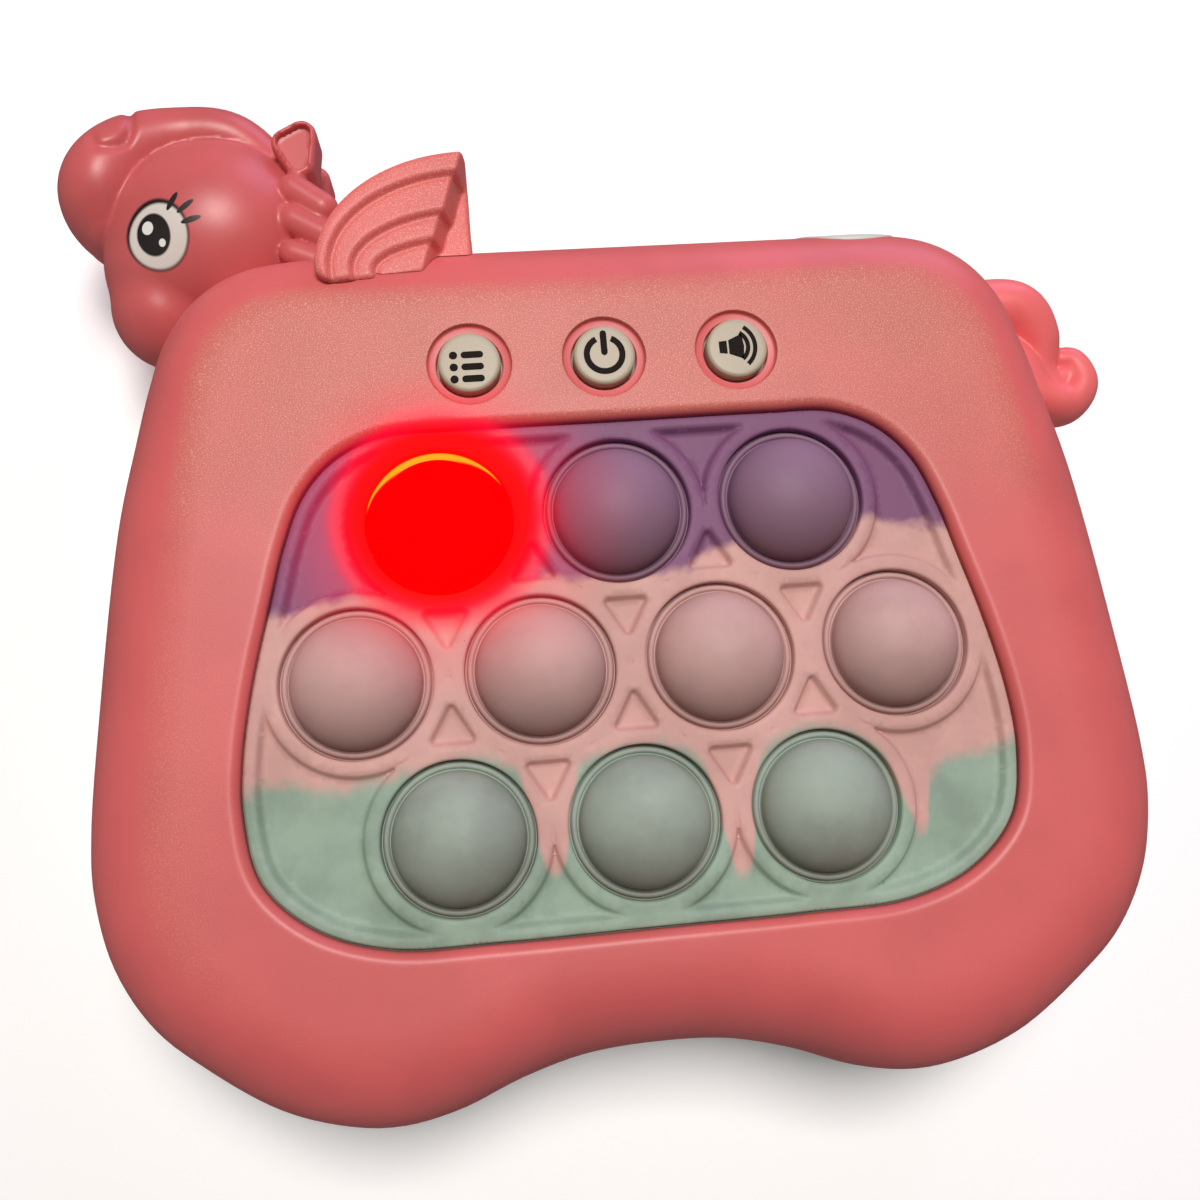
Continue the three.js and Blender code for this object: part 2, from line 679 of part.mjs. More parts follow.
function makeLightCap([x, y]) {
  const radius = domeRadius - siliconeWall - clearance;
  const top = grooveHeight + domeRise - siliconeWall - clearance;
  const outside = domeArc(radius, capFlangeTop, top - capFlangeTop, hollowSteps);
  const inside = domeArc(radius - capWall, capFlangeBottom, top - capWall - capFlangeBottom, capHollowSteps);
  const barrelBottom = boardTop + clearance + bubbleTravel;
  const roof = inside[capHollowSteps - 1];
  return turned([
    [0, stemTop + clearance + bubbleTravel], [capPostRadius, stemTop + clearance + bubbleTravel],
    [capPostRadius, roof[1]], ...inside.slice(0, capHollowSteps).reverse(),
    [capBarrelRadius - capWall, capFlangeBottom], [capBarrelRadius - capWall, barrelBottom],
    [capBarrelRadius, barrelBottom], [capBarrelRadius, capFlangeBottom], [capFlangeRadius, capFlangeBottom],
    [capFlangeRadius, capFlangeTop], ...outside,
  ], roundSides, x, y);
}

function makeFrame() {
  const plate = prism(widened(windowPoints, flangeReach), frameBottom, frameTop);
  const rim = prism(widened(windowPoints, flangeReach), frameTop - framePlate / 2, webBottom - clearance)
    .subtract(prism(widened(windowPoints, flangeReach - frameRimWidth), 0, bodyThickness));
  const ears = pegPlaces.map(([x, y]) => cylinder(x, y, frameBottom, frameTop, frameEarRadius, smallSides));
  const earHoles = pegPlaces.map(([x, y]) =>
    cylinder(x, y, frameBottom - overrun, frameTop + overrun, pegRadius + clearance, smallSides));
  const bores = bubblePlaces.map(([x, y]) =>
    cylinder(x, y, frameBottom - overrun, webBottom, capBarrelRadius + clearance));
  const padPosts = [...innerGapPlaces, ...outerGapPlaces].map(([x, y]) =>
    cylinder(x, y, frameTop - framePlate / 2, webBottom - clearance, padPostRadius, smallSides / 2));
  const stakeTop = boardBottom - clearance;
  const legs = outerGapPlaces.flatMap(([x, y]) => [
    cylinder(x, y, boardTop + clearance, frameTop - framePlate / 2, boardLegRadius, smallSides),
    cylinder(x, y, stakeTop - stakeHeadHeight / 2, frameTop - framePlate / 2, boardPinRadius, smallSides),
    cylinder(x, y, stakeTop - stakeHeadHeight, stakeTop, boardLegRadius, smallSides),
  ]);
  const body = cut(join([plate, rim, ...ears]), [...bores, ...earHoles]);
  return join([body, ...padPosts, ...legs]);
}

function switchBlock([x, y], low) {
  const half = switchSide / 2;
  return join([
    box(x - half, x + half, y - half, y + half, low, stemTop - stemHeight),
    cylinder(x, y, stemTop - stemHeight - clearance, stemTop, stemRadius, smallSides),
  ]);
}

function makeBoard() {
  const half = boardOutlineShares.map(([x, y]) =>
    new THREE.Vector2(x * windowHalfWidth, y * (y > 0 ? boardTopEdge : windowBottom)));
  const left = half.slice(1, -1).reverse().map(({ x, y }) => new THREE.Vector2(-x, y));
  const plate = prism([...half, ...left], boardBottom, boardTop);
  const lamps = bubblePlaces.map(([x, y]) => box(
    x + lampOffset - lampSide / 2, x + lampOffset + lampSide / 2, y - lampSide / 2, y + lampSide / 2,
    boardTop - clearance, boardTop + lampHeight,
  ));
  const switches = buttonPlaces.map((place) => switchBlock(place, boardTop - clearance));
  const pinHoles = outerGapPlaces.map(([x, y]) =>
    cylinder(x, y, boardBottom - overrun, boardTop + overrun, boardPinRadius + clearance, smallSides));
  return cut(join([plate, ...lamps, ...switches]), pinHoles);
}

function makeButton([x, y]) {
  const top = bodyThickness + buttonProud;
  return turned([
    [0, stemTop + clearance + buttonTravel], [buttonPlungerRadius, stemTop + clearance + buttonTravel],
    [buttonPlungerRadius, flangeTop - buttonFlangeThickness],
    [buttonFlangeRadius, flangeTop - buttonFlangeThickness], [buttonFlangeRadius, flangeTop],
    [buttonRadius, flangeTop], [buttonRadius, top - buttonEdge], [buttonRadius - buttonEdge, top], [0, top],
  ], roundSides, x, y);
}

// A cell lies along X; facing 1 puts its positive end at +X
function makeCell(y, facing) {
  const half = cellLength / 2;
  const cell = turned([
    [0, -half], [cellRadius, -half], [cellRadius, half], [cellNubRadius, half],
    [cellNubRadius, half + cellNubLength], [0, half + cellNubLength],
  ], roundSides);
  const offset = facing * (cellShift - cellNubLength / 2);
  return cell.rotate([0, facing * 90, 0]).translate([offset, y, cellAxis]);
}

const cellFacing = cellPlaces.map((_, i) => (i % 2 === 0 ? 1 : -1));
const contactFace = bayHalfLength - clearance - contactThickness;
const tagPlace = contactFace + contactThickness / 2;
const contactTags = [
  [cellFacing[0] * tagPlace, cellPlaces[0] - tagOffset],
  [-cellFacing[cellCount - 1] * tagPlace, cellPlaces[cellCount - 1] + tagOffset],
];

// A sprung cone that presses on a cell's flat end, or a dimple that meets its nub, on the plate at one end
function contactNose(y, end, facing) {
  const positive = end === facing;
  const reach = positive
    ? cellShift + cellLength / 2 + cellNubLength / 2 + clearance
    : cellLength / 2 + cellNubLength / 2 - cellShift + clearance;
  const tip = positive ? dimpleRadius : springTipRadius;
  const base = positive ? dimpleRadius : springBaseRadius;
  const nose = cylinder(0, 0, reach, tagPlace, tip, smallSides, base);
  return nose.rotate([0, end * 90, 0]).translate([0, y, cellAxis]);
}

function contactPlate(end, lowY, highY) {
  const near = end * contactFace;
  const far = end * (contactFace + contactThickness);
  return box(Math.min(near, far), Math.max(near, far), lowY, highY, contactLow, contactHigh);
}

function makeEndContact(index, end, tag) {
  const y = cellPlaces[index];
  const near = Math.min(end * contactFace, end * (contactFace + contactThickness));
  return join([
    contactPlate(end, y - contactWidth / 2, y + contactWidth / 2),
    contactNose(y, end, cellFacing[index]),
    box(near, near + contactThickness, tag[1] - tagWidth / 2, tag[1] + tagWidth / 2, contactHigh - overrun,
      tagHeight),
  ]);
}

function makeBridgeContact(index, end) {
  return join([
    contactPlate(end, cellPlaces[index] - contactWidth / 2, cellPlaces[index + 1] + contactWidth / 2),
    contactNose(cellPlaces[index], end, cellFacing[index]),
    contactNose(cellPlaces[index + 1], end, cellFacing[index + 1]),
  ]);
}

function makeDoor() {
  const plate = box(
    -doorHalfWidth + clearance, doorHalfWidth - clearance, doorBottomEdge + clearance,
    doorTopEdge - clearance, 0, shellWall,
  );
  const tabs = [-tabPlace, tabPlace].flatMap((x) => [
    box(x - tabHalfWidth, x + tabHalfWidth, doorTopEdge - tabRoot, doorTopEdge - clearance, shellWall / 2,
      ledgeBottom + tabThickness),
    box(x - tabHalfWidth, x + tabHalfWidth, doorTopEdge - tabRoot, doorTopEdge + tabReach, ledgeBottom,
      ledgeBottom + tabThickness),
  ]);
  const headRoom = clearance * 2 + doorScrewHeadHeight;
  return cut(join([plate, ...tabs]), [
    cylinder(0, doorScrewPlace, -overrun, headRoom, doorScrewHead + clearance, smallSides),
    cylinder(0, doorScrewPlace, -overrun, shellWall + overrun, doorScrewShank + clearance, smallSides),
  ]);
}

// A screw that points up, with a cross slot in its head
function makeScrew([x, y], low, headRadius, headHeight, shankRadius, length) {
  const screw = turned([
    [0, low], [headRadius, low], [headRadius, low + headHeight], [shankRadius, low + headHeight],
    [shankRadius, low + length - shankRadius], [0, low + length],
  ], smallSides, x, y);
  const slotReach = headRadius * slotReachShare;
  const slot = (halfX, halfY) =>
    box(x - halfX, x + halfX, y - halfY, y + halfY, low - overrun, low + slotDepth);
  return cut(screw, [slot(slotReach, slotWidth / 2), slot(slotWidth / 2, slotReach)]);
}

function makeSpeaker() {
  const low = shellWall + clearance;
  const coneRadius = speakerRadius - speakerRimWidth;
  return turned([
    [0, low + speakerRimHeight], [coneRadius / 2, low + speakerRimHeight / 2], [coneRadius, low],
    [speakerRadius, low], [speakerRadius, low + speakerRimHeight], [coneRadius, low + speakerRimHeight],
    [speakerBasketRadius, low + speakerBasketHeight], [magnetRadius, low + speakerBasketHeight],
    [magnetRadius, magnetTop], [0, magnetTop],
  ], roundSides, 0, speakerPlace);
}

// A wire that leaves both of its ends upright
function makeWire(start, end) {
  const section = new THREE.Shape(stationAngles(smallSides).map((angle) =>
    new THREE.Vector2(wireRadius * Math.cos(angle), wireRadius * Math.sin(angle))));
  const low = new THREE.Vector3(...start);
  const high = new THREE.Vector3(...end);
  const pull = (high.z - low.z) / 2;
  const extrudePath = new THREE.CubicBezierCurve3(
    low, low.clone().setZ(low.z + pull), high.clone().setZ(high.z - pull), high,
  );
  const run = new THREE.ExtrudeGeometry(section, { steps: smallSides, bevelEnabled: false, extrudePath });
  return toSolid(run);
}

// A wire from a contact's tag up to the underside of the board
function makeBatteryWire([x, y]) {
  const high = boardBottom - clearance;
  return makeWire([x, y, tagHeight + clearance], [x - Math.sign(x) * wireRadius, y, high]);
}

function makeSpeakerWire() {
  const high = boardBottom - clearance;
  return makeWire([0, speakerPlace, magnetTop + clearance], [magnetRadius, speakerPlace, high]);
}

const onSkull = ([x, y]) => [skull[0] + x * skullRadii[0], skull[1] + y * skullRadii[1], seamHeight];

function makeEar(side) {
  const geometry = new THREE.ConeGeometry(earRadius, earHeight, headSides / 2);
  const cone = toSolid(geometry.scale(1, 1, earThicknessShare));
  return cone.rotate([0, 0, earTurn]).translate(onSkull(earPlaceShares))
    .translate([0, 0, side * skullRadii[2] / 2]);
}

function wholeHead() {
  const forelock = lock(
    forelockPathShares.map(([x, y, size]) => [new THREE.Vector3(...onSkull([x, y])), size * forelockRadius]),
    forelockDepthShare,
  );
  const tuftRadii = [tuftLength, tuftRadius, skullRadii[2] * tuftDepthShare];
  const tufts = tuftPlaceShares.map(([x, y]) =>
    ellipsoid(onSkull([x, y]), tuftRadii, tuftTurn * (1 + y)));
  const whole = join([
    ellipsoid(onSkull([0, 0]), skullRadii), ellipsoid(onSkull(cheekPlaceShares), cheekRadii),
    ellipsoid(onSkull(muzzlePlaceShares), muzzleRadii, muzzleTurn),
    forelock, makeEar(1), makeEar(-1), ...tufts,
  ]);
  return cut(whole, [bodyEnvelope, wingRoom(1), wingRoom(-1)]).add(headTab(0));
}

function makeHeadHalf(side) {
  const reach = bodyThickness * 2;
  const low = side > 0 ? seamHeight + clearance / 2 : -reach;
  const high = side > 0 ? reach : seamHeight - clearance / 2;
  return head.intersect(box(-bodyHalfWidth - reach, reach, 0, bodyTop + reach, low, high));
}

// A quarter ellipse about the wing's lower right corner, cut off short of the wing's right end
function featherPoints([lengthShare, heightShare], endStep) {
  const right = wingRight - endStep;
  const arc = Array.from({ length: featherSteps + 1 }, (_, i) => {
    const turn = (i / featherSteps) * (Math.PI / 2);
    const x = wingRight - wingLength * lengthShare * Math.cos(turn);
    return new THREE.Vector2(Math.min(x, right), wingBase + wingHeight * heightShare * Math.sin(turn));
  });
  const kept = arc.filter((point, i) => i === 0 || point.x < right || arc[i - 1].x < right);
  return [...kept, new THREE.Vector2(right, wingBase)];
}

// The space that a wing takes up beside the head
function wingRoom(side) {
  const face = wingFace(side);
  const far = face - side * wingThickness;
  const outline = widened(featherPoints(featherArcShares[0], 0), clearance);
  return prism(outline, Math.min(face, far) - clearance, Math.max(face, far) + clearance);
}

// The outer feather stands highest; each next one lies a step deeper and ends further from the right
function makeWing(side) {
  const face = wingFace(side);
  const layer = (arcShare, endStep, level) => {
    const near = face - side * level * wingStep;
    const far = face - side * wingThickness;
    return prism(featherPoints(arcShare, endStep), Math.min(near, far), Math.max(near, far));
  };
  const [outer, middleArc, inner] = featherArcShares;
  const depth = featherArcShares.length;
  const feathers = join([
    layer(outer, 0, 0).subtract(layer(middleArc, 0, -1)),
    layer(middleArc, featherEndSteps[0], 1).subtract(layer(inner, 0, -1)),
    layer(inner, featherEndSteps[1], 2),
    layer(outer, 0, depth),
  ]);
  return feathers.subtract(bodyEnvelope).add(wingTab(side, 0));
}

function tailLock(pathShares) {
  const path = pathShares.map(([x, y, size]) => [
    new THREE.Vector3(tail[0] + x * tailReach, tail[1] + y * tailReach, seamHeight),
    size * tailLockRadius,
  ]);
  return lock(path, tailDepthShare);
}

function makeTail() {
  return tailLock(tailUpperShares).add(tailLock(tailLowerShares)).subtract(bodyEnvelope).add(tailTab(0));
}

// Materials, named for the finish

const material = (color, roughness, metalness = 0, opacity = 1) =>
  new THREE.MeshStandardMaterial({ color, roughness, metalness, opacity, transparent: opacity < 1 });
const pinkShell = material(0xd9646e, 0.45);
const paleShell = material(0xdfe3da, 0.5);
const silicone = material(0xe3b7b5, 0.75);
const capPlastic = material(0xf2efe6, 0.35, 0, 0.6);
const whitePlastic = material(0xeeeeea, 0.5);
const framePlastic = material(0xd8d8d2, 0.6);
const boardGreen = material(0x2f6b45, 0.55);
const blackPlastic = material(0x1d1d1f, 0.55);
const steel = material(0xb9bcc0, 0.3, 1);
const cellSleeve = material(0x30383f, 0.4);
const redWire = material(0xb22222, 0.5);

const toy = new THREE.Group();

function place(name, solid, finish) {
  const mesh = solid.getMesh();
  const geometry = new THREE.BufferGeometry();
  geometry.setAttribute("position", new THREE.BufferAttribute(mesh.vertProperties, mesh.numProp));
  geometry.setIndex(new THREE.BufferAttribute(mesh.triVerts, 1));
  geometry.computeVertexNormals();
  const piece = new THREE.Mesh(geometry, finish);
  piece.name = name;
  toy.add(piece);
}

const twoDigits = (index) => String(index + 1).padStart(2, "0");
const head = wholeHead();

place("front_shell", makeFrontShell(), pinkShell);
place("back_shell", makeBackShell(), paleShell);
place("bubble_pad", makePad(), silicone);
bubblePlaces.forEach((at, i) => {
  place(`bubble_${twoDigits(i)}`, makeBubble(at), silicone);
  place(`light_cap_${twoDigits(i)}`, makeLightCap(at), capPlastic);
  place(`switch_${twoDigits(i)}`, switchBlock(at, boardTop + clearance), blackPlastic);
});
place("cap_frame", makeFrame(), framePlastic);
place("main_board", makeBoard(), boardGreen);
buttonPlaces.forEach((at, i) => place(buttonNames[i], makeButton(at), whitePlastic));
place("speaker", makeSpeaker(), blackPlastic);
place("battery_door", makeDoor(), paleShell);
place("door_screw", makeScrew([0, doorScrewPlace], clearance, doorScrewHead, doorScrewHeadHeight,
  doorScrewShank, doorScrewLength), steel);
cellPlaces.forEach((y, i) => place(`battery_${i + 1}`, makeCell(y, cellFacing[i]), cellSleeve));
place("positive_contact", makeEndContact(0, cellFacing[0], contactTags[0]), steel);
place("negative_contact", makeEndContact(cellCount - 1, -cellFacing[cellCount - 1], contactTags[1]), steel);
cellPlaces.slice(1).forEach((_, i) =>
  place(`bridge_contact_${i + 1}`, makeBridgeContact(i, -cellFacing[i]), steel));
housingScrewPlaces.forEach((at, i) => {
  const screw = makeScrew(at, screwSeat - clearance - screwHeadHeight, screwHeadRadius, screwHeadHeight,
    screwShankRadius, screwLength);
  place(`housing_screw_${i + 1}`, screw, steel);
});
place("battery_wire_positive", makeBatteryWire(contactTags[0]), redWire);
place("battery_wire_negative", makeBatteryWire(contactTags[1]), blackPlastic);
place("speaker_wire", makeSpeakerWire(), redWire);
place("head_front", makeHeadHalf(1), pinkShell);
place("head_back", makeHeadHalf(-1), pinkShell);
place("wing_front", makeWing(1), pinkShell);
place("wing_back", makeWing(-1), pinkShell);
place("tail", makeTail(), pinkShell);

// The origin is the middle of the footprint, on the back face
const reach = new THREE.Box3().setFromObject(toy);
const middle = reach.getCenter(new THREE.Vector3());
toy.position.set(-middle.x, -middle.y, -reach.min.z);

export default toy;
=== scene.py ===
import math

import bpy
import numpy as np
from bpy.props import FloatProperty, FloatVectorProperty, PointerProperty
from mathutils import Euler, Matrix, Vector
from mathutils.geometry import delaunay_2d_cdt
from mathutils.kdtree import KDTree


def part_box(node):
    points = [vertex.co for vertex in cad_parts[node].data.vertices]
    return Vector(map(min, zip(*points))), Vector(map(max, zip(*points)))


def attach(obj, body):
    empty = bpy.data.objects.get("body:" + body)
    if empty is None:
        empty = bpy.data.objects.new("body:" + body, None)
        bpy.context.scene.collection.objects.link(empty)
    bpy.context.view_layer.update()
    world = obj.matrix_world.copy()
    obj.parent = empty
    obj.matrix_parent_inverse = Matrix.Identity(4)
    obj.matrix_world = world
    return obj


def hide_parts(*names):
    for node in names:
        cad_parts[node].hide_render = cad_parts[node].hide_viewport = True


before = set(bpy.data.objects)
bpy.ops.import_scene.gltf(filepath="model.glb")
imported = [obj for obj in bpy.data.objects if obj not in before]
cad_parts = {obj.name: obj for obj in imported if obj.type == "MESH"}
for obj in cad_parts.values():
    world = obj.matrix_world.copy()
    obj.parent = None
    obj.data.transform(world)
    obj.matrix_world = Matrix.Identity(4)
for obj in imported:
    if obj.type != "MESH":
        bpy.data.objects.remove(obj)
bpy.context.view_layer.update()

bl_info = {
    "name": "Bubble Pop Game",
    "version": (1, 0, 0),
    "blender": (4, 5, 0),
    "location": "3D View > Sidebar > Bubble Game",
    "description": "Dresses the frame of an electronic bubble pop game",
    "category": "Add Mesh",
}

# Lengths here are millimetres, counted from the middle of the bubble grid on the back face
MM = 0.001


def grid_middle():
    """The middle of the bubble grid in the frame, in metres."""
    top_low, top_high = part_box("bubble_02")
    row_low, row_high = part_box("bubble_05")
    return np.array([(top_low.x + top_high.x) / 2, (row_low.y + row_high.y) / 2, 0])


MIDDLE = grid_middle()


def box_of(node):
    """A node's lowest and highest corners."""
    low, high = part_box(node)
    return (np.array(low) - MIDDLE) / MM, (np.array(high) - MIDDLE) / MM


def centre_of(node):
    """The middle of a node's box."""
    low, high = box_of(node)
    return (low + high) / 2


# Heights and places from the frame
BODY_LOW, BODY_HIGH = box_of("front_shell")
PAD_LOW, PAD_HIGH = box_of("bubble_pad")
FACE = BODY_HIGH[2]
LAND = PAD_HIGH[2]
PAD_BOTTOM = PAD_LOW[2]
SEAM = FACE / 2
BUBBLES = [f"bubble_{number:02d}" for number in range(1, 11)]
BUBBLE_PLACES = np.array([centre_of(name)[:2] for name in BUBBLES])
LIT = BUBBLE_PLACES[0]
BUTTONS = ["menu_button", "power_button", "volume_button"]
DOOR_LOW, DOOR_HIGH = box_of("battery_door")
SPEAKER = centre_of("speaker")[:2]
SCREW_NODES = [f"housing_screw_{number}" for number in range(1, 5)]
CELL_NODES = [f"battery_{number}" for number in range(1, 4)]

# Fits and walls
GAP = 0.3
BODY_CLEARANCE = 0.12
WALL = 2.2
OVERRUN = 1.0

# What the shells and the lid carry inside
BOSS_RADIUS = 3.6
BOSS_BOTTOM = 11.0
SCREW_HOLE = 1.6
SCREW_HOLE_TOP = 18.3
WELL_RADIUS = 4.2
WELL_TOP = 10.7
WELL_MOUTH = 3.9
WELL_BORE = 3.1
WELL_DEPTH = 7.5
SHELF_BOTTOM = 1.0
LEDGE_WALL = 1.8
BAY_WALL = 1.5
BAY_CORNER = 1.0
CELL_ROOM = 0.65
TAG_INSET = 1.5
TAG_ROOM_X = 0.9
TAG_ROOM_Y = 2.4
LID_POST = 3.2
LID_SCREW_BORE = 1.8
LID_TAB_PLACES = (-18, 18)
LID_TAB_HALF = 4.0
LID_TAB_THICKNESS = 1.5
SPEAKER_RING = 14.3
SPEAKER_SEAT = 12.8
SPEAKER_RISE = 5.0
BUTTON_HOLE = 4.55
RECESS_DEPTH = 0.8

# Console body
BODY_SHARES = [
    (0, 1), (0.388, 1), (0.61, 0.995), (0.714, 0.967), (0.793, 0.905), (0.848, 0.815), (0.88, 0.71),
    (0.908, 0.584), (0.944, 0.394), (0.983, 0), (1, -0.286), (0.996, -0.42), (0.962, -0.588),
    (0.893, -0.731), (0.802, -0.832), (0.673, -0.938), (0.556, -0.988), (0.466, -1), (0.362, -0.978),
    (0.246, -0.924), (0.129, -0.887), (0, -0.877),
]
WINDOW_SHARES = [
    (0, 1), (0.431, 1), (0.612, 0.99), (0.735, 0.908), (0.822, 0.765), (0.878, 0.556), (0.912, 0.36),
    (0.965, 0.04), (0.997, -0.25), (1, -0.45), (0.96, -0.71), (0.835, -0.89), (0.655, -0.985),
    (0.392, -1), (0, -1),
]
FLANGE_REACH = 3.0
ROUND_POWER = 2.4
FRONT_ROUND = 14.8
BACK_ROUND = 14.0
LIP_MARGIN = 2.6
BODY_STATIONS = 288
WINDOW_STATIONS = 240
ROUND_STEPS = 26
INNER_STEPS = 10

# Places on the body that several pieces share
TAIL_ROOT = np.array([0.9, 0.715]) * BODY_HIGH[:2]
SKULL = np.array([-0.762 * BODY_HIGH[0], 1.128 * BODY_HIGH[1], SEAM])
SKULL_RADII = np.array([16.0, 15.0, 13.6])
TONGUE_X = 39.3
TONGUE_RADIUS = 8.0
TONGUE_TOP = 36.0
TONGUE_BOTTOM = 12.0
TONGUE_DEPTH = 16.0


# Outlines

def outline(shares, half_width, top, bottom, count):
    """Evenly spaced points, anticlockwise, on a smooth closed curve through a half and its mirror."""
    right = np.array([(x * half_width, y * (top if y > 0 else bottom)) for x, y in shares])
    corners = np.vstack([right, right[-2:0:-1] * [-1, 1]])
    total = len(corners)
    steps = np.arange(0, 1, 1 / 24)[:, None]
    fine = []
    for i in range(total):
        before, start, end, after = (corners[(i + k) % total] for k in (-1, 0, 1, 2))
        first, span, last = (
            np.linalg.norm(b - a) ** 0.5 for a, b in ((before, start), (start, end), (end, after)))
        leave = ((start - before) / first - (end - before) / (first + span) + (end - start) / span) * span
        arrive = ((end - start) / span - (after - start) / (span + last) + (after - end) / last) * span
        fine.append(start + leave * steps + (3 * (end - start) - 2 * leave - arrive) * steps ** 2
                    + (2 * (start - end) + leave + arrive) * steps ** 3)
    return evenly(np.vstack(fine)[::-1], count)


def evenly(points, count):
    """Evenly spaced points on a closed line."""
    closed = np.vstack([points, points[:1]])
    run = np.concatenate([[0], np.cumsum(np.linalg.norm(np.diff(closed, axis=0), axis=1))])
    places = np.arange(count) / count * run[-1]
    return np.stack([np.interp(places, run, closed[:, i]) for i in range(2)], 1)


def outward(points):
    """Unit vectors square to a closed anticlockwise line, pointing out of it."""
    along = np.roll(points, -1, 0) - np.roll(points, 1, 0)
    along /= np.linalg.norm(along, axis=1)[:, None]
    return np.stack([along[:, 1], -along[:, 0]], 1)


def widened(points, distance):
    """A closed line with each point moved outwards."""
    return points + outward(points) * distance


def circle(x, y, radius, count):
    """Points round a circle."""
    turns = np.arange(count) / count * 2 * math.pi
    return np.stack([x + radius * np.cos(turns), y + radius * np.sin(turns)], 1)


def at_height(points, height):
    """Flat points raised to a height."""
    return np.column_stack([points, np.broadcast_to(height, len(points))])


def inside_line(points, line):
    """Which points lie inside a closed line."""
    x, y = points[:, :1], points[:, 1:]
    ax, ay = line[:, 0], line[:, 1]
    bx, by = np.roll(ax, -1), np.roll(ay, -1)
    crossed = ((ay > y) != (by > y)) & (x < (bx - ax) * (y - ay) / (by - ay + 1e-12) + ax)
    return crossed.sum(1) % 2 == 1


def distance_to(points, line):
    """The distance from each point to the nearest point of a line."""
    nearest = np.full(len(points), np.inf)
    for start in range(0, len(line), 64):
        part = line[start:start + 64]
        reach = np.linalg.norm(points[:, None] - part[None], axis=2).min(1)
        nearest = np.minimum(nearest, reach)
    return nearest


BODY = outline(BODY_SHARES, BODY_HIGH[0], BODY_HIGH[1], -BODY_LOW[1], BODY_STATIONS)
BODY *= np.array([BODY_HIGH[0] / BODY[:, 0].max(), 1])
BODY[:, 1] = np.clip(BODY[:, 1], BODY_LOW[1], BODY_HIGH[1])
WINDOW = outline(WINDOW_SHARES, PAD_HIGH[0] - FLANGE_REACH, PAD_HIGH[1] - FLANGE_REACH,
                 -PAD_LOW[1] - FLANGE_REACH, WINDOW_STATIONS)


def way_in():
    """For each point of the body's edge, the way towards the window and the distance to it."""
    fine = evenly(WINDOW, WINDOW_STATIONS * 6)
    gaps = np.linalg.norm(BODY[:, None] - fine[None], axis=2)
    inward = fine[gaps.argmin(1)] - BODY
    inward /= np.linalg.norm(inward, axis=1)[:, None]
    smooth = sum(np.roll(inward, shift, 0) for shift in range(-4, 5))
    return smooth / np.linalg.norm(smooth, axis=1)[:, None], gaps.min(1)


INWARD, ROOM = way_in()


# Meshes

def triangulated(points, loops):
    """Triangles through flat points, inside the first of some closed loops and outside the others.

    The loops' points come first. Gives the made points, the triangles, and for each made point the
    numbers of the points that it stands for.
    """
    edges = []
    for loop in loops:
        start = len(edges)
        edges += [(start + i, start + (i + 1) % len(loop)) for i in range(len(loop))]
    places = [Vector(point) for point in points.tolist()]
    made, _, triangles, sources, _, _ = delaunay_2d_cdt(places, edges, [], 0, 1e-5)
    made = np.array([tuple(point) for point in made])
    triangles = np.array([tuple(face) for face in triangles])
    middles = made[triangles].mean(1)
    keep = inside_line(middles, loops[0])
    for loop in loops[1:]:
        keep &= ~inside_line(middles, loop)
    return made, triangles[keep], sources


class Shape:
    """The points and faces of a mesh that is built from closed lines."""

    def __init__(self):
        self.points = []
        self.faces = []

    def loop(self, points):
        """Adds points and gives their numbers."""
        start = len(self.points)
        self.points.extend(map(tuple, points))
        return np.arange(start, len(self.points))

    def skin(self, first, second):
        """Faces between two anticlockwise loops of equally many points."""
        quads = np.stack([first, np.roll(first, -1), np.roll(second, -1), second], 1)
        self.faces.extend(quads.tolist())

    def tube(self, rings):
        """A skin over a row of rings; gives the first and the last loop."""
        loops = [self.loop(ring) for ring in rings]
        for first, second in zip(loops, loops[1:]):
            self.skin(first, second)
        return loops[0], loops[-1]

    def fill(self, outer, holes=(), flipped=False):
        """Triangles inside a loop and outside the holes in it."""
        loops = [outer, *holes]
        lines = [np.array([self.points[i][:2] for i in loop]) for loop in loops]
        _, triangles, sources = triangulated(np.vstack(lines), lines)
        ids = np.concatenate(loops)
        numbers = np.array([ids[source[0]] for source in sources])
        found = numbers[triangles]
        self.faces.extend((found[:, ::-1] if flipped else found).tolist())

    def flip(self):
        """Turns every face round."""
        self.faces = [face[::-1] for face in self.faces]
        return self


def mesh_object(name, points, faces):
    """An object at the origin, with its place in its mesh."""
    mesh = bpy.data.meshes.new(name)
    places = np.asarray(points, float) * MM + MIDDLE
    mesh.from_pydata(places.tolist(), [], [tuple(face) for face in faces])
    mesh.validate()
    made = bpy.data.objects.new(name, mesh)
    bpy.context.scene.collection.objects.link(made)
    return made


def from_shape(name, shape):
    """An object made of a shape."""
    return mesh_object(name, shape.points, shape.faces)


def prism(line, low, high, name="prism"):
    """A closed line extruded along Z."""
    shape = Shape()
    bottom, top = shape.tube([at_height(line, low), at_height(line, high)])
    shape.fill(top)
    shape.fill(bottom, flipped=True)
    return from_shape(name, shape)


def rectangle(low_x, high_x, low_y, high_y, radius=0.0, steps=8):
    """A rectangle's outline, with round corners where a radius is given."""
    if radius == 0:
        return np.array([(low_x, low_y), (high_x, low_y), (high_x, high_y), (low_x, high_y)], float)
    points = []
    corners = [(high_x - radius, high_y - radius), (low_x + radius, high_y - radius),
               (low_x + radius, low_y + radius), (high_x - radius, low_y + radius)]
    for quarter, (x, y) in enumerate(corners):
        for step in range(steps + 1):
            turn = (quarter + step / steps) * math.pi / 2
            points.append((x + radius * math.cos(turn), y + radius * math.sin(turn)))
    return np.array(points)


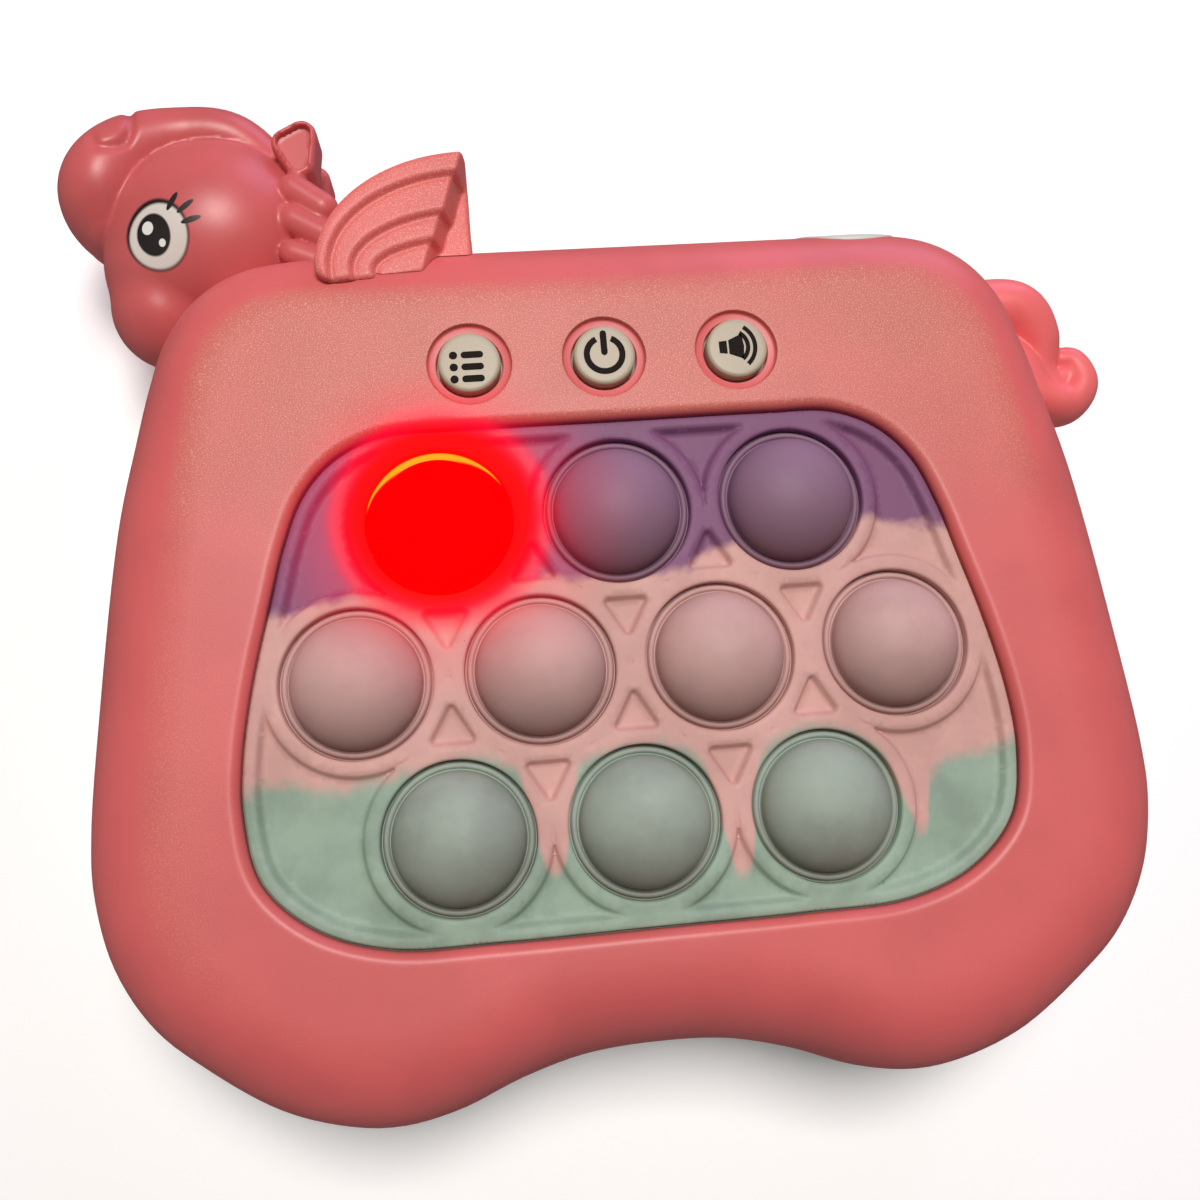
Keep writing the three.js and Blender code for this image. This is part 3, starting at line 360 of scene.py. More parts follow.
def block(low_x, high_x, low_y, high_y, low, high):
    """A plain box, for cuts and joins."""
    return prism(rectangle(low_x, high_x, low_y, high_y), low, high)


def post(x, y, radius, low, high, sides=32):
    """A plain upright cylinder, for cuts and joins."""
    return prism(circle(x, y, radius, sides), low, high)


def combine(base, tools, operation):
    """Cuts, joins or crosses a closed mesh with others, which are used up."""
    for tool in tools:
        modifier = base.modifiers.new("combine", "BOOLEAN")
        modifier.operation = operation
        modifier.solver = "MANIFOLD"
        modifier.object = tool
    made = settled(base)
    for tool in tools:
        discard(tool)
    return made


def settled(base):
    """Turns what an object's modifiers make into its plain mesh."""
    graph = bpy.context.evaluated_depsgraph_get()
    made = bpy.data.meshes.new_from_object(base.evaluated_get(graph))
    base.modifiers.clear()
    old = base.data
    base.data = made
    made.name = base.name
    if isinstance(old, bpy.types.Mesh):
        bpy.data.meshes.remove(old)
    if not made.polygons:
        raise RuntimeError(f"{base.name}: a cut or join left nothing")
    return base


def discard(tool):
    """Removes a cutting tool."""
    mesh = tool.data
    bpy.data.objects.remove(tool)
    bpy.data.meshes.remove(mesh)


def finished(piece, material, body="console", replaces=(), sharp=38):
    """Gives a piece its name's place in the frame, its finish and its smooth shading."""
    mesh = piece.data
    mesh.materials.clear()
    mesh.materials.append(material)
    mesh.polygons.foreach_set("use_smooth", np.ones(len(mesh.polygons), bool))
    mesh.set_sharp_from_angle(angle=math.radians(sharp))
    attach(piece, body)
    if replaces:
        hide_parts(*replaces)
    return piece


# Geometry Nodes

class Tree:
    """A Geometry Nodes tree, built node by node."""

    def __init__(self, name, **inputs):
        self.group = bpy.data.node_groups.new(name, "GeometryNodeTree")
        self.inputs = {}
        for words, kind in {"Geometry": "NodeSocketGeometry", **inputs}.items():
            socket = self.group.interface.new_socket(words, in_out="INPUT", socket_type=kind)
            self.inputs[words] = socket.identifier
        self.group.interface.new_socket("Geometry", in_out="OUTPUT", socket_type="NodeSocketGeometry")
        self.start = self.group.nodes.new("NodeGroupInput").outputs

    def add(self, kind, inputs=(), output=0, **settings):
        """Adds a node with its settings and inputs, and gives one of its outputs."""
        node = self.group.nodes.new(kind)
        for words, value in settings.items():
            setattr(node, words, value)
        for words, value in dict(inputs).items():
            for source in value if isinstance(value, list) else [value]:
                if isinstance(source, bpy.types.NodeSocket):
                    self.group.links.new(source, node.inputs[words])
                else:
                    node.inputs[words].default_value = source
        return node.outputs[output]

    def math(self, operation, first, second=0.0):
        """A sum on two numbers."""
        return self.add("ShaderNodeMath", {0: first, 1: second}, operation=operation)

    def end(self, geometry):
        """Ends the tree with plain geometry and its material."""
        real = self.add("GeometryNodeRealizeInstances", {"Geometry": geometry})
        dressed = self.add("GeometryNodeSetMaterial",
                           {"Geometry": real, "Material": self.start["Material"]})
        self.group.links.new(dressed, self.group.nodes.new("NodeGroupOutput").inputs[0])
        return self


def grown(base, tree, **values):
    """Runs a tree on an object and keeps what it makes as a plain mesh."""
    modifier = base.modifiers.new("tree", "NODES")
    modifier.node_group = tree.group
    for words, value in values.items():
        modifier[tree.inputs[words]] = value
    return settled(base)


def turned_tree():
    """Turns a half section, in the XZ plane, round the Z axis."""
    tree = Tree("turned_piece", Sides="NodeSocketInt", Material="NodeSocketMaterial")
    section = tree.start["Geometry"]
    sides = tree.start["Sides"]
    count = tree.add("GeometryNodeAttributeDomainSize", {"Geometry": section})
    grid = tree.add("GeometryNodeMeshGrid",
                    {"Vertices X": tree.math("ADD", sides, 1), "Vertices Y": count})
    index = tree.add("GeometryNodeInputIndex")
    column = tree.math("FLOOR", tree.math("DIVIDE", index, count))
    turn = tree.math("MULTIPLY", tree.math("DIVIDE", column, sides), 2 * math.pi)
    place = tree.add("GeometryNodeInputPosition")
    sampled = tree.add(
        "GeometryNodeSampleIndex",
        {"Geometry": section, "Value": place, "Index": tree.math("MODULO", index, count)},
        data_type="FLOAT_VECTOR",
    )
    parts = tree.group.nodes.new("ShaderNodeSeparateXYZ")
    tree.group.links.new(sampled, parts.inputs[0])
    radius, height = parts.outputs["X"], parts.outputs["Z"]
    spot = tree.add("ShaderNodeCombineXYZ", {
        "X": tree.math("MULTIPLY", radius, tree.math("COSINE", turn)),
        "Y": tree.math("MULTIPLY", radius, tree.math("SINE", turn)),
        "Z": height,
    })
    placed = tree.add("GeometryNodeSetPosition", {"Geometry": grid, "Position": spot})
    merged = tree.add("GeometryNodeMergeByDistance", {"Geometry": placed, "Distance": 1e-6})
    return tree.end(merged)


def copies_tree():
    """Puts a copy of an object at each point."""
    tree = Tree("copies", Piece="NodeSocketObject", Material="NodeSocketMaterial")
    piece = tree.add("GeometryNodeObjectInfo", {"Object": tree.start["Piece"]}, "Geometry")
    points = tree.add("GeometryNodeMeshToPoints", {"Mesh": tree.start["Geometry"]})
    return tree.end(tree.add("GeometryNodeInstanceOnPoints", {"Points": points, "Instance": piece}))


def perforation_tree():
    """Pins through a middle hole and two rings of six, for cutting a grille."""
    tree = Tree("perforation", Pitch="NodeSocketFloat", Radius="NodeSocketFloat",
                Depth="NodeSocketFloat", Material="NodeSocketMaterial")
    rings = [
        tree.add("GeometryNodeMeshCircle", {
            "Vertices": 6, "Radius": tree.math("MULTIPLY", tree.start["Pitch"], ring)})
        for ring in (1, 2)
    ]
    middle = tree.add("GeometryNodeMeshLine", {"Count": 1})
    places = tree.add("GeometryNodeJoinGeometry", {"Geometry": [*rings, middle]})
    points = tree.add("GeometryNodeMeshToPoints", {"Mesh": places})
    pin = tree.add("GeometryNodeMeshCylinder", {
        "Vertices": 24, "Radius": tree.start["Radius"], "Depth": tree.start["Depth"]})
    return tree.end(tree.add("GeometryNodeInstanceOnPoints", {"Points": points, "Instance": pin}))


def rib_tree():
    """Equal bars in a row along Y, for the grip of a lid."""
    tree = Tree("ribs", Count="NodeSocketInt", Pitch="NodeSocketFloat", Length="NodeSocketFloat",
                Width="NodeSocketFloat", Depth="NodeSocketFloat", Material="NodeSocketMaterial")
    step = tree.add("ShaderNodeCombineXYZ", {"Y": tree.start["Pitch"]})
    row = tree.add("GeometryNodeMeshLine", {"Count": tree.start["Count"], "Offset": step})
    size = tree.add("ShaderNodeCombineXYZ", {
        "X": tree.start["Length"], "Y": tree.start["Width"], "Z": tree.start["Depth"]})
    bar = tree.add("GeometryNodeMeshCube", {"Size": size})
    points = tree.add("GeometryNodeMeshToPoints", {"Mesh": row})
    return tree.end(tree.add("GeometryNodeInstanceOnPoints", {"Points": points, "Instance": bar}))


TREES = {}


def tree_named(name, make):
    """Each tree is built once."""
    if name not in TREES:
        TREES[name] = make()
    return TREES[name]


def shifted(piece, x, y, z=0.0):
    """Shifts a piece in its mesh."""
    piece.data.transform(Matrix.Translation(Vector((x, y, z)) * MM))
    return piece


def from_origin(piece, x, y, z=0.0):
    """Puts a piece that was made round the frame's origin at its place in the grid."""
    return shifted(piece, *(MIDDLE / MM + [x, y, z]))


def at_origin(piece):
    """Takes a piece from the grid's middle to the frame's origin."""
    return shifted(piece, *(-MIDDLE / MM))


def turned(name, profile, sides, x=0.0, y=0.0, z=0.0, about_y=0.0):
    """A turned piece from [radius, height] pairs that run from the axis round to the axis."""
    mesh = bpy.data.meshes.new(name)
    points = [(radius * MM, 0, height * MM) for radius, height in profile]
    mesh.from_pydata(points, [(i, i + 1) for i in range(len(points) - 1)], [])
    piece = bpy.data.objects.new(name, mesh)
    bpy.context.scene.collection.objects.link(piece)
    grown(piece, tree_named("turned", turned_tree), Sides=sides)
    if signed_volume(piece.data) < 0:
        piece.data.flip_normals()
    piece.data.transform(Euler((0, about_y, 0)).to_matrix().to_4x4())
    return from_origin(piece, x, y, z)


def signed_volume(mesh):
    """A closed mesh's volume, below zero where its faces point in."""
    mesh.calc_loop_triangles()
    spots = np.empty(len(mesh.vertices) * 3)
    mesh.vertices.foreach_get("co", spots)
    corners = np.empty(len(mesh.loop_triangles) * 3, int)
    mesh.loop_triangles.foreach_get("vertices", corners)
    a, b, c = np.moveaxis(spots.reshape(-1, 3)[corners.reshape(-1, 3)], 1, 0)
    return np.einsum("ij,ij->i", a, np.cross(b, c)).sum() / 6


def arc(middle_x, middle_y, radius, start, end, steps, squash=1.0):
    """Profile points on an arc, from one angle to another in degrees; squash scales its height."""
    turns = np.radians(np.linspace(start, end, steps + 1))
    return [(middle_x + radius * math.cos(turn), middle_y + radius * squash * math.sin(turn))
            for turn in turns]


# Finishes

OVAL_SOFTNESS = 0.06


class Finish:
    """A material's nodes, built one call at a time; places are millimetres in the bubble grid."""

    def __init__(self, name, **settings):
        self.material = bpy.data.materials.new(name)
        self.material.use_nodes = True
        self.nodes = self.material.node_tree.nodes
        self.links = self.material.node_tree.links
        self.shader = self.nodes["Principled BSDF"]
        for words, value in settings.items():
            self.shader.inputs[words.replace("_", " ")].default_value = value
        object_place = self.add("ShaderNodeTexCoord", output="Object")
        self.place = self.add("ShaderNodeMapping", {
            "Vector": object_place, "Location": tuple(-MIDDLE / MM), "Scale": (1 / MM,) * 3})
        parts = self.nodes.new("ShaderNodeSeparateXYZ")
        self.links.new(self.place, parts.inputs[0])
        self.x, self.y, self.z = parts.outputs

    def add(self, kind, inputs=(), output=0, **settings):
        """Adds a node with its settings and inputs, and gives one of its outputs."""
        node = self.nodes.new(kind)
        for words, value in settings.items():
            setattr(node, words, value)
        for words, value in dict(inputs).items():
            if isinstance(value, bpy.types.NodeSocket):
                self.links.new(value, node.inputs[words])
            else:
                node.inputs[words].default_value = value
        return node.outputs[output]

    def math(self, operation, first, second=0.0):
        """A sum on two numbers."""
        return self.add("ShaderNodeMath", {0: first, 1: second}, operation=operation)

    def noise(self, scale, detail=2.0, roughness=0.5, place=None):
        """Cloudy noise, with features about one over its scale across."""
        return self.add("ShaderNodeTexNoise", {
            "Vector": place or self.place, "Scale": scale, "Detail": detail, "Roughness": roughness})

    def step(self, value, low, high):
        """Runs smoothly from 0 at low to 1 at high."""
        return self.add("ShaderNodeMapRange", {"Value": value, "From Min": low, "From Max": high},
                        interpolation_type="SMOOTHSTEP")

    def spread(self, value, low, high):
        """Spreads 0 to 1 over low to high."""
        return self.add("ShaderNodeMapRange", {"Value": value, "To Min": low, "To Max": high})

    def mix(self, share, first, second):
        """Blends two colours."""
        node = self.nodes.new("ShaderNodeMix")
        node.data_type = "RGBA"
        for socket, value in ((0, share), (6, first), (7, second)):
            if isinstance(value, bpy.types.NodeSocket):
                self.links.new(value, node.inputs[socket])
            else:
                node.inputs[socket].default_value = value if socket == 0 else (*value[:3], 1)
        return node.outputs[2]

    def distance(self, x, y):
        """The distance from an upright axis."""
        across = self.math("SUBTRACT", self.x, x)
        along = self.math("SUBTRACT", self.y, y)
        squares = self.math("ADD", self.math("MULTIPLY", across, across),
                            self.math("MULTIPLY", along, along))
        return self.math("SQRT", squares)

    def oval(self, x, y, half_x, half_y, turn=0.0):
        """1 inside an upright oval prism and 0 outside it."""
        shifted = self.add("ShaderNodeVectorMath", {0: self.place, 1: (-x, -y, 0)}, operation="ADD")
        placed = self.add("ShaderNodeMapping", {
            "Vector": shifted, "Rotation": (0, 0, math.radians(-turn))})
        scaled = self.add("ShaderNodeVectorMath", {0: placed, 1: (1 / half_x, 1 / half_y, 0)},
                          operation="MULTIPLY")
        reach = self.add("ShaderNodeVectorMath", {0: scaled}, "Value", operation="LENGTH")
        return self.step(reach, 1 + OVAL_SOFTNESS, 1 - OVAL_SOFTNESS)

    def bump(self, height, distance, strength=1.0, normal=None):
        """A small relief, given in millimetres."""
        inputs = {"Height": height, "Distance": distance * MM, "Strength": strength}
        if normal:
            inputs["Normal"] = normal
        return self.add("ShaderNodeBump", inputs)

    def set(self, **sockets):
        """Links values to the shader's sockets."""
        for words, value in sockets.items():
            self.links.new(value, self.shader.inputs[words.replace("_", " ")])
        return self


def colour_of(name):
    """A colour that the user can change."""
    return tuple(getattr(bpy.context.scene.bubble_game_colours, name))


def shaded(colour, factor):
    """A colour made darker or lighter."""
    return tuple(channel * factor for channel in colour[:3])


FINISHES = {}


def finish(make, *arguments):
    """Each finish is made once."""
    key = (make.__name__, *arguments)
    if key not in FINISHES:
        FINISHES[key] = make(*arguments)
    return FINISHES[key]


def pink_plastic(grain_from, grain_full, grain_low, pearl=0.36, light=1.0, name="pink_plastic"):
    """Satin coral plastic; its pearly grain is full above a height, and weaker low on the face."""
    # The light factor makes a piece's colour lighter than the shell's own, as painted light.
    base = shaded(colour_of("shell"), light)
    look = Finish(name, Roughness=0.42, IOR=1.46, Subsurface_Weight=0.1, Subsurface_Scale=0.002,
                  Subsurface_Radius=(1.0, 0.35, 0.3))
    cloud = look.noise(0.06, 3)
    colour = look.mix(look.step(cloud, 0.35, 0.65), shaded(base, 0.95), shaded(base, 1.05))
    grain = look.noise(3.4, 2, 0.7)
    flecks = look.step(look.noise(5.2, 1, 0.4), 0.54, 0.68)
    height = look.step(look.z, grain_from, grain_full)
    up = look.spread(look.step(look.y, 12, 36), grain_low, 1)
    left = look.math("MULTIPLY", look.step(look.x, -44, -60), 0.4)
    patch = look.spread(look.step(look.noise(0.05, 2), 0.32, 0.62), 0.7, 1)
    amount = look.math("MULTIPLY", look.math("MULTIPLY", height, patch), look.math("MAXIMUM", up, left))
    colour = look.mix(look.math("MULTIPLY", amount, pearl), colour, colour_of("pearl"))
    colour = look.mix(look.math("MULTIPLY", look.math("MULTIPLY", flecks, amount), 0.45), colour,
                      colour_of("fleck"))
    rough = look.math("ADD", look.spread(grain, 0.36, 0.46), look.math("MULTIPLY", amount, 0.06))
    fine = look.bump(look.noise(1.2, 3), 0.02, 0.25)
    relief = look.bump(look.math("MULTIPLY", grain, amount), 0.12, 0.5, fine)
    look.set(Normal=relief)
    return lit_by_lamp(look, colour, rough, 23.0, 0.8, 1.0).material


def pale_plastic():
    """Matt off-white plastic of the back shell and the lid."""
    base = colour_of("back")
    look = Finish("pale_plastic", Roughness=0.5, IOR=1.47, Subsurface_Weight=0.05,
                  Subsurface_Scale=0.002)
    cloud = look.step(look.noise(0.05, 3), 0.3, 0.7)
    colour = look.mix(cloud, shaded(base, 0.94), shaded(base, 1.02))
    scuffs = look.step(look.noise(0.5, 5, 0.75), 0.62, 0.75)
    colour = look.mix(look.math("MULTIPLY", scuffs, 0.15), colour, shaded(base, 0.8))
    grain = look.noise(4.0, 2, 0.6)
    return look.set(Base_Color=colour, Roughness=look.spread(grain, 0.42, 0.58),
                    Normal=look.bump(grain, 0.06, 0.3)).material


VIOLET_EDGE = [(-52, 8.8), (-45, 9.7), (-37.5, 11.4), (-14.5, 12.1), (5.7, 12.0), (15.9, 15.5),
               (33.2, 16.8), (52, 14.3)]
MINT_EDGE = [(-52, -12.4), (-44, -12.6), (-37, -13.5), (-33, -12.5), (-24, -10.9), (-16.5, -13.0),
             (-13.8, -23.0), (-12, -26.5), (-10.2, -23.0), (-7.5, -13.0), (0, -10.9), (7.5, -13.0),
             (10.3, -24.0), (12.2, -28.5), (14, -24.0), (16.5, -13.0), (24, -11.2), (31, -13.5),
             (34.5, -21.0), (36.8, -25.5), (38.6, -18.5), (41, -16.3), (46, -15.3), (52, -14.0)]
ROW_EDGE = 10.4
EDGE_REACH = 52.0


def edge_height(look, places):
    """The height of a colour boundary across the pad, drawn through places."""
    share = look.add("ShaderNodeMapRange", {
        "Value": look.x, "From Min": -EDGE_REACH, "From Max": EDGE_REACH})
    node = look.nodes.new("ShaderNodeFloatCurve")
    look.links.new(share, node.inputs["Value"])
    points = node.mapping.curves[0].points
    shares = [((x / EDGE_REACH + 1) / 2, (y / EDGE_REACH + 1) / 2) for x, y in places]
    points[0].location = shares[0]
    points[1].location = shares[-1]
    for spot in shares[1:-1]:
        points.new(*spot)
    node.mapping.update()
    return look.spread(node.outputs[0], -EDGE_REACH, EDGE_REACH)


def marbled(look, violet, mint):
    """The silicone's three colours, with dark specks."""
    drift = look.step(look.noise(0.09, 4, 0.6), 0.36, 0.66)
    peach = look.mix(drift, colour_of("peach"), shaded(colour_of("peach"), 0.86))
    green = look.mix(drift, shaded(colour_of("mint"), 1.1), shaded(colour_of("mint"), 0.84))
    colour = look.mix(mint, peach, green)
    colour = look.mix(violet, colour, colour_of("violet"))
    specks = look.step(look.noise(0.8, 3, 0.7), 0.745, 0.775)
    return look.mix(look.math("MULTIPLY", specks, 0.6), colour, (0.12, 0.07, 0.06))


def lit_by_lamp(look, colour, rough, reach, share, strength):
    """Tints a colour with the lit bubble's red light, and adds that light."""
    away = look.distance(LIT[0] + 0.3, LIT[1] + 0.8)
    near = look.step(away, 16.2, 11.0)
    far = look.step(away, reach, 9.0)
    tint = look.math("MAXIMUM", look.math("MULTIPLY", look.step(away, 18.0, 12.5), 0.99),
                     look.math("MULTIPLY", far, share))
    light = look.math("ADD", look.math("MULTIPLY", near, 0.75), look.math("MULTIPLY", far, 0.25))
    return look.set(Base_Color=look.mix(tint, colour, shaded(colour_of("lit"), 0.6)),
                    Emission_Strength=look.math("MULTIPLY", light, strength),
                    Emission_Color=look.mix(near, colour_of("glow"), colour_of("lit")),
                    Roughness=look.math("MAXIMUM", rough, near))


def pad_silicone():
    """Soft marbled silicone, which the lit bubble tints."""
    look = Finish("pad_silicone", Roughness=0.5, IOR=1.41, Specular_IOR_Level=0.3,
                  Subsurface_Weight=0.12, Subsurface_Scale=0.0015, Subsurface_Radius=(1.0, 0.6, 0.6))
    sway = look.math("MULTIPLY", look.math("SUBTRACT", look.noise(0.16, 3, 0.6), 0.5), 5)
    height = look.math("ADD", look.y, sway)
    violet = look.step(look.math("SUBTRACT", height, edge_height(look, VIOLET_EDGE)), -0.9, 1.1)
    mint = look.step(look.math("SUBTRACT", height, edge_height(look, MINT_EDGE)), 1.5, -1.5)
    grain = look.noise(2.2, 3, 0.6)
    look.set(Normal=look.bump(grain, 0.03, 0.2))
    rough = look.spread(grain, 0.44, 0.58)
    return lit_by_lamp(look, marbled(look, violet, mint), rough, 27.0, 0.4, 1.0).material


def bubble_silicone():
    """The same silicone where it is thin and paler, with painted shade that darkens each dome towards its
    lower side.
    """
    look = Finish("bubble_silicone", Roughness=0.56, IOR=1.41, Specular_IOR_Level=0.4)
    violet = look.step(look.y, ROW_EDGE - 1, ROW_EDGE + 1)
    mint = look.step(look.y, 1 - ROW_EDGE, -1 - ROW_EDGE)
    colour = look.mix(0.2, marbled(look, violet, mint), colour_of("haze"))
    lower = look.add("ShaderNodeAttribute", output="Fac", attribute_name="lower")
    # Painted shade: each dome is darkened towards its lower side, where less light falls.
    painted_dome_shade = look.spread(look.step(lower, 0.3, 1.05), 0.06, 0.4)
    colour = look.mix(painted_dome_shade, colour, colour_of("painted_dome_shade"))
    grain = look.noise(2.6, 3, 0.6)
    look.set(Normal=look.bump(grain, 0.04, 0.2))
    return lit_by_lamp(look, colour, look.spread(grain, 0.5, 0.64), 29.0, 0.4, 0.5).material


def lit_silicone():
    """The bubble whose lamp is on: red, with a bright crescent along its upper edge."""
    look = Finish("lit_silicone", Roughness=0.7, IOR=1.41, Specular_IOR_Level=0.0)
    outer = look.step(look.distance(*LIT), 10.05, 9.8)
    inner = look.step(look.distance(LIT[0] + 0.36, LIT[1] - 2.39), 10.95, 11.3)
    crescent = look.math("MULTIPLY", outer, inner)
    cloud = look.spread(look.noise(0.2, 2), 0.92, 1.08)
    colour = look.mix(crescent, colour_of("lit"), colour_of("crescent"))
    return look.set(Emission_Color=colour, Emission_Strength=look.math("MULTIPLY", cloud, 1.1),
                    Base_Color=look.mix(crescent, shaded(colour_of("lit"), 0.3), (0.1, 0.04, 0.01)),
                    Normal=look.bump(look.noise(2.6, 3), 0.04, 0.2)).material


def white_plastic():
    """Cream-white plastic of the buttons, with a fine fleck."""
    base = colour_of("button")
    look = Finish("white_plastic", Roughness=0.45, IOR=1.47)
    flecks = look.step(look.noise(3.0, 2, 0.7), 0.6, 0.72)
    grain = look.noise(3.6, 2, 0.6)
    colour = look.mix(look.math("MULTIPLY", flecks, 0.35), base, shaded(base, 0.72))
    return look.set(Base_Color=colour, Normal=look.bump(grain, 0.08, 0.35)).material


def printed_ink():
    """Worn dark ink of the button signs."""
    look = Finish("printed_ink", Roughness=0.7, Specular_IOR_Level=0.1)
    worn = look.step(look.noise(2.8, 4, 0.8), 0.6, 0.74)
    rubbed = shaded(colour_of("button"), 0.5)
    colour = look.mix(look.math("MULTIPLY", worn, 0.25), colour_of("ink"), rubbed)
    return look.set(Base_Color=colour).material


def plain_plastic(name, colour, roughness):
    """Moulded plastic with a faint cloud and grain."""
    look = Finish(name, Roughness=roughness, IOR=1.47)
    cloud = look.step(look.noise(0.12, 3), 0.3, 0.7)
    grain = look.noise(3.0, 2)
    return look.set(Base_Color=look.mix(cloud, shaded(colour, 0.9), shaded(colour, 1.08)),
                    Roughness=look.spread(grain, roughness - 0.06, roughness + 0.08),
                    Normal=look.bump(grain, 0.05, 0.25)).material


def brushed_metal(name, colour, roughness):
    """Plated metal with fine drawn lines."""
    look = Finish(name, Metallic=1.0, Roughness=roughness)
    stretched = look.add("ShaderNodeMapping", {"Vector": look.place, "Scale": (0.15, 4.0, 4.0)})
    lines = look.noise(1.0, 3, 0.7, stretched)
    return look.set(Base_Color=look.mix(lines, shaded(colour, 0.82), shaded(colour, 1.08)),
                    Roughness=look.spread(lines, roughness - 0.08, roughness + 0.12),
                    Normal=look.bump(lines, 0.02, 0.3)).material


def clear_plastic():
    """Frosted clear plastic of the light cups."""
    look = Finish("clear_plastic", Roughness=0.35, IOR=1.5, Transmission_Weight=0.6)
    frost = look.noise(1.6, 3)
    return look.set(Base_Color=look.mix(frost, (0.86, 0.84, 0.78), (0.97, 0.96, 0.92)),
                    Roughness=look.spread(frost, 0.28, 0.48),
                    Normal=look.bump(frost, 0.05, 0.2)).material


def board_lacquer():
    """Green solder mask with faint tracks."""
    look = Finish("board_lacquer", Roughness=0.4, IOR=1.5)
    tracks = look.add("ShaderNodeTexBrick", {
        "Vector": look.place, "Scale": 0.35, "Mortar Size": 0.012, "Color1": (0.02, 0.16, 0.07, 1),
        "Color2": (0.02, 0.14, 0.06, 1), "Mortar": (0.05, 0.3, 0.13, 1)})
    cloud = look.step(look.noise(0.3, 3), 0.35, 0.7)
    return look.set(Base_Color=look.mix(look.math("MULTIPLY", cloud, 0.3), tracks, (0.02, 0.2, 0.09)),
                    Normal=look.bump(look.noise(1.4, 2), 0.03, 0.3)).material


# Carved forms: a field of signed distances, and the mesh of its zero surface

def blend(first, second, width):
    """The lesser of two fields, rounded where they meet."""
    share = np.clip(0.5 + 0.5 * (second - first) / width, 0, 1)
    return second * (1 - share) + first * share - width * share * (1 - share)


def carve(first, second, width):
    """One field less another, rounded where they meet."""
    return -blend(-first, second, width)


def egg(points, centre, radii, turn=0.0):
    """The field of an ellipsoid, turned about Z by degrees."""
    local = points - centre
    cosine, sine = math.cos(math.radians(turn)), math.sin(math.radians(turn))
    local = np.stack([local[:, 0] * cosine + local[:, 1] * sine,
                      local[:, 1] * cosine - local[:, 0] * sine, local[:, 2]], 1)
    reach = np.linalg.norm(local / radii, axis=1)
    slope = np.linalg.norm(local / np.square(radii), axis=1)
    return reach * (reach - 1) / np.maximum(slope, 1e-9)


def smooth_path(places, count):
    """Points on a smooth open curve through places of any size."""
    places = np.asarray(places, float)
    padded = np.vstack([2 * places[0] - places[1], places, 2 * places[-1] - places[-2]])
    spans = len(places) - 1
    made = []
    for share in np.linspace(0, spans, count):
        i = min(int(share), spans - 1)
        t = share - i
        a, b, c, d = padded[i:i + 4]
        made.append(0.5 * (2 * b + (c - a) * t + (2 * a - 5 * b + 4 * c - d) * t * t
                           + (3 * b - a - 3 * c + d) * t ** 3))
    return np.array(made)


def lock_field(points, places, depth):
    """A lock of hair: round sections along (x, y, radius) places, deepened along Z."""
    high = ((points[:, 2] - SEAM) / depth) ** 2
    field = np.full(len(points), np.inf)
    for x, y, radius in smooth_path(places, 64):
        reach = np.sqrt((points[:, 0] - x) ** 2 + (points[:, 1] - y) ** 2 + high)
        field = np.minimum(field, reach - radius)
    return field


def groove(points, places, width, depth):
    """How far a groove along flat places is sunk at each point; it fades in and out."""
    path = smooth_path(places, 40)
    sunk = np.zeros(len(points))
    for share, (x, y) in zip(np.linspace(0, math.pi, len(path)), path):
        reach = np.hypot(points[:, 0] - x, points[:, 1] - y)
        sunk = np.maximum(sunk, depth * math.sin(share) ** 0.4 * np.exp(-(reach / width) ** 2))
    return sunk


def polygon_field(points, corners):
    """The exact flat field of a polygon."""
    corners = np.asarray(corners, float)
    flat = points[:, :2]
    nearest = np.full(len(flat), np.inf)
    for start, end in zip(corners, np.roll(corners, -1, 0)):
        run = end - start
        share = np.clip((flat - start) @ run / (run @ run), 0, 1)
        nearest = np.minimum(nearest, np.linalg.norm(flat - start - share[:, None] * run, axis=1))
    return np.where(inside_line(flat, corners), -nearest, nearest)


def surface_net(field, low, high, step):
    """The points and quads of a field's zero surface."""
    counts = np.ceil((np.array(high) - low) / step).astype(int) + 1
    axes = [low[i] + step * np.arange(counts[i]) for i in range(3)]
    grid = np.stack(np.meshgrid(*axes, indexing="ij"), -1)
    values = field(grid.reshape(-1, 3)).reshape(counts)
    cells = counts - 1
    total = np.zeros((*cells, 3))
    hits = np.zeros(cells)
    edges = []
    for axis in range(3):
        lower = tuple(slice(0, -1) if i == axis else slice(None) for i in range(3))
        upper = tuple(slice(1, None) if i == axis else slice(None) for i in range(3))
        first, second = values[lower], values[upper]
        crossed = (first < 0) != (second < 0)
        share = np.where(crossed, first / np.where(crossed, first - second, 1), 0)
        spots = grid[lower].copy()
        spots[..., axis] += step * share
        across, along = [i for i in range(3) if i != axis]
        for shift_across in (0, 1):
            for shift_along in (0, 1):
                part = [slice(None)] * 3
                part[across] = slice(shift_across, shift_across + cells[across])
                part[along] = slice(shift_along, shift_along + cells[along])
                part = tuple(part)
                total += spots[part] * crossed[part][..., None]
                hits += crossed[part]
        edges.append((crossed, first < 0, across, along))
    live = hits > 0
    numbers = np.full(cells, -1)
    numbers[live] = np.arange(live.sum())
    points = total[live] / hits[live][:, None]
    quads = []
    for axis, (crossed, solid, across, along) in enumerate(edges):
        spots = np.argwhere(crossed)
        inner = (spots[:, across] > 0) & (spots[:, along] > 0)
        inner &= (spots[:, across] < cells[across]) & (spots[:, along] < cells[along])
        spots = spots[inner]
        corners = []
        for shift_across, shift_along in ((1, 1), (0, 1), (0, 0), (1, 0)):
            cell = spots.copy()
            cell[:, across] -= shift_across
            cell[:, along] -= shift_along
            corners.append(numbers[tuple(cell.T)])
        faces = np.stack(corners, 1)
        turned_round = solid[tuple(spots.T)] == (axis == 1)
        faces[turned_round] = faces[turned_round][:, ::-1]
        quads.append(faces)
    return points, np.vstack(quads)


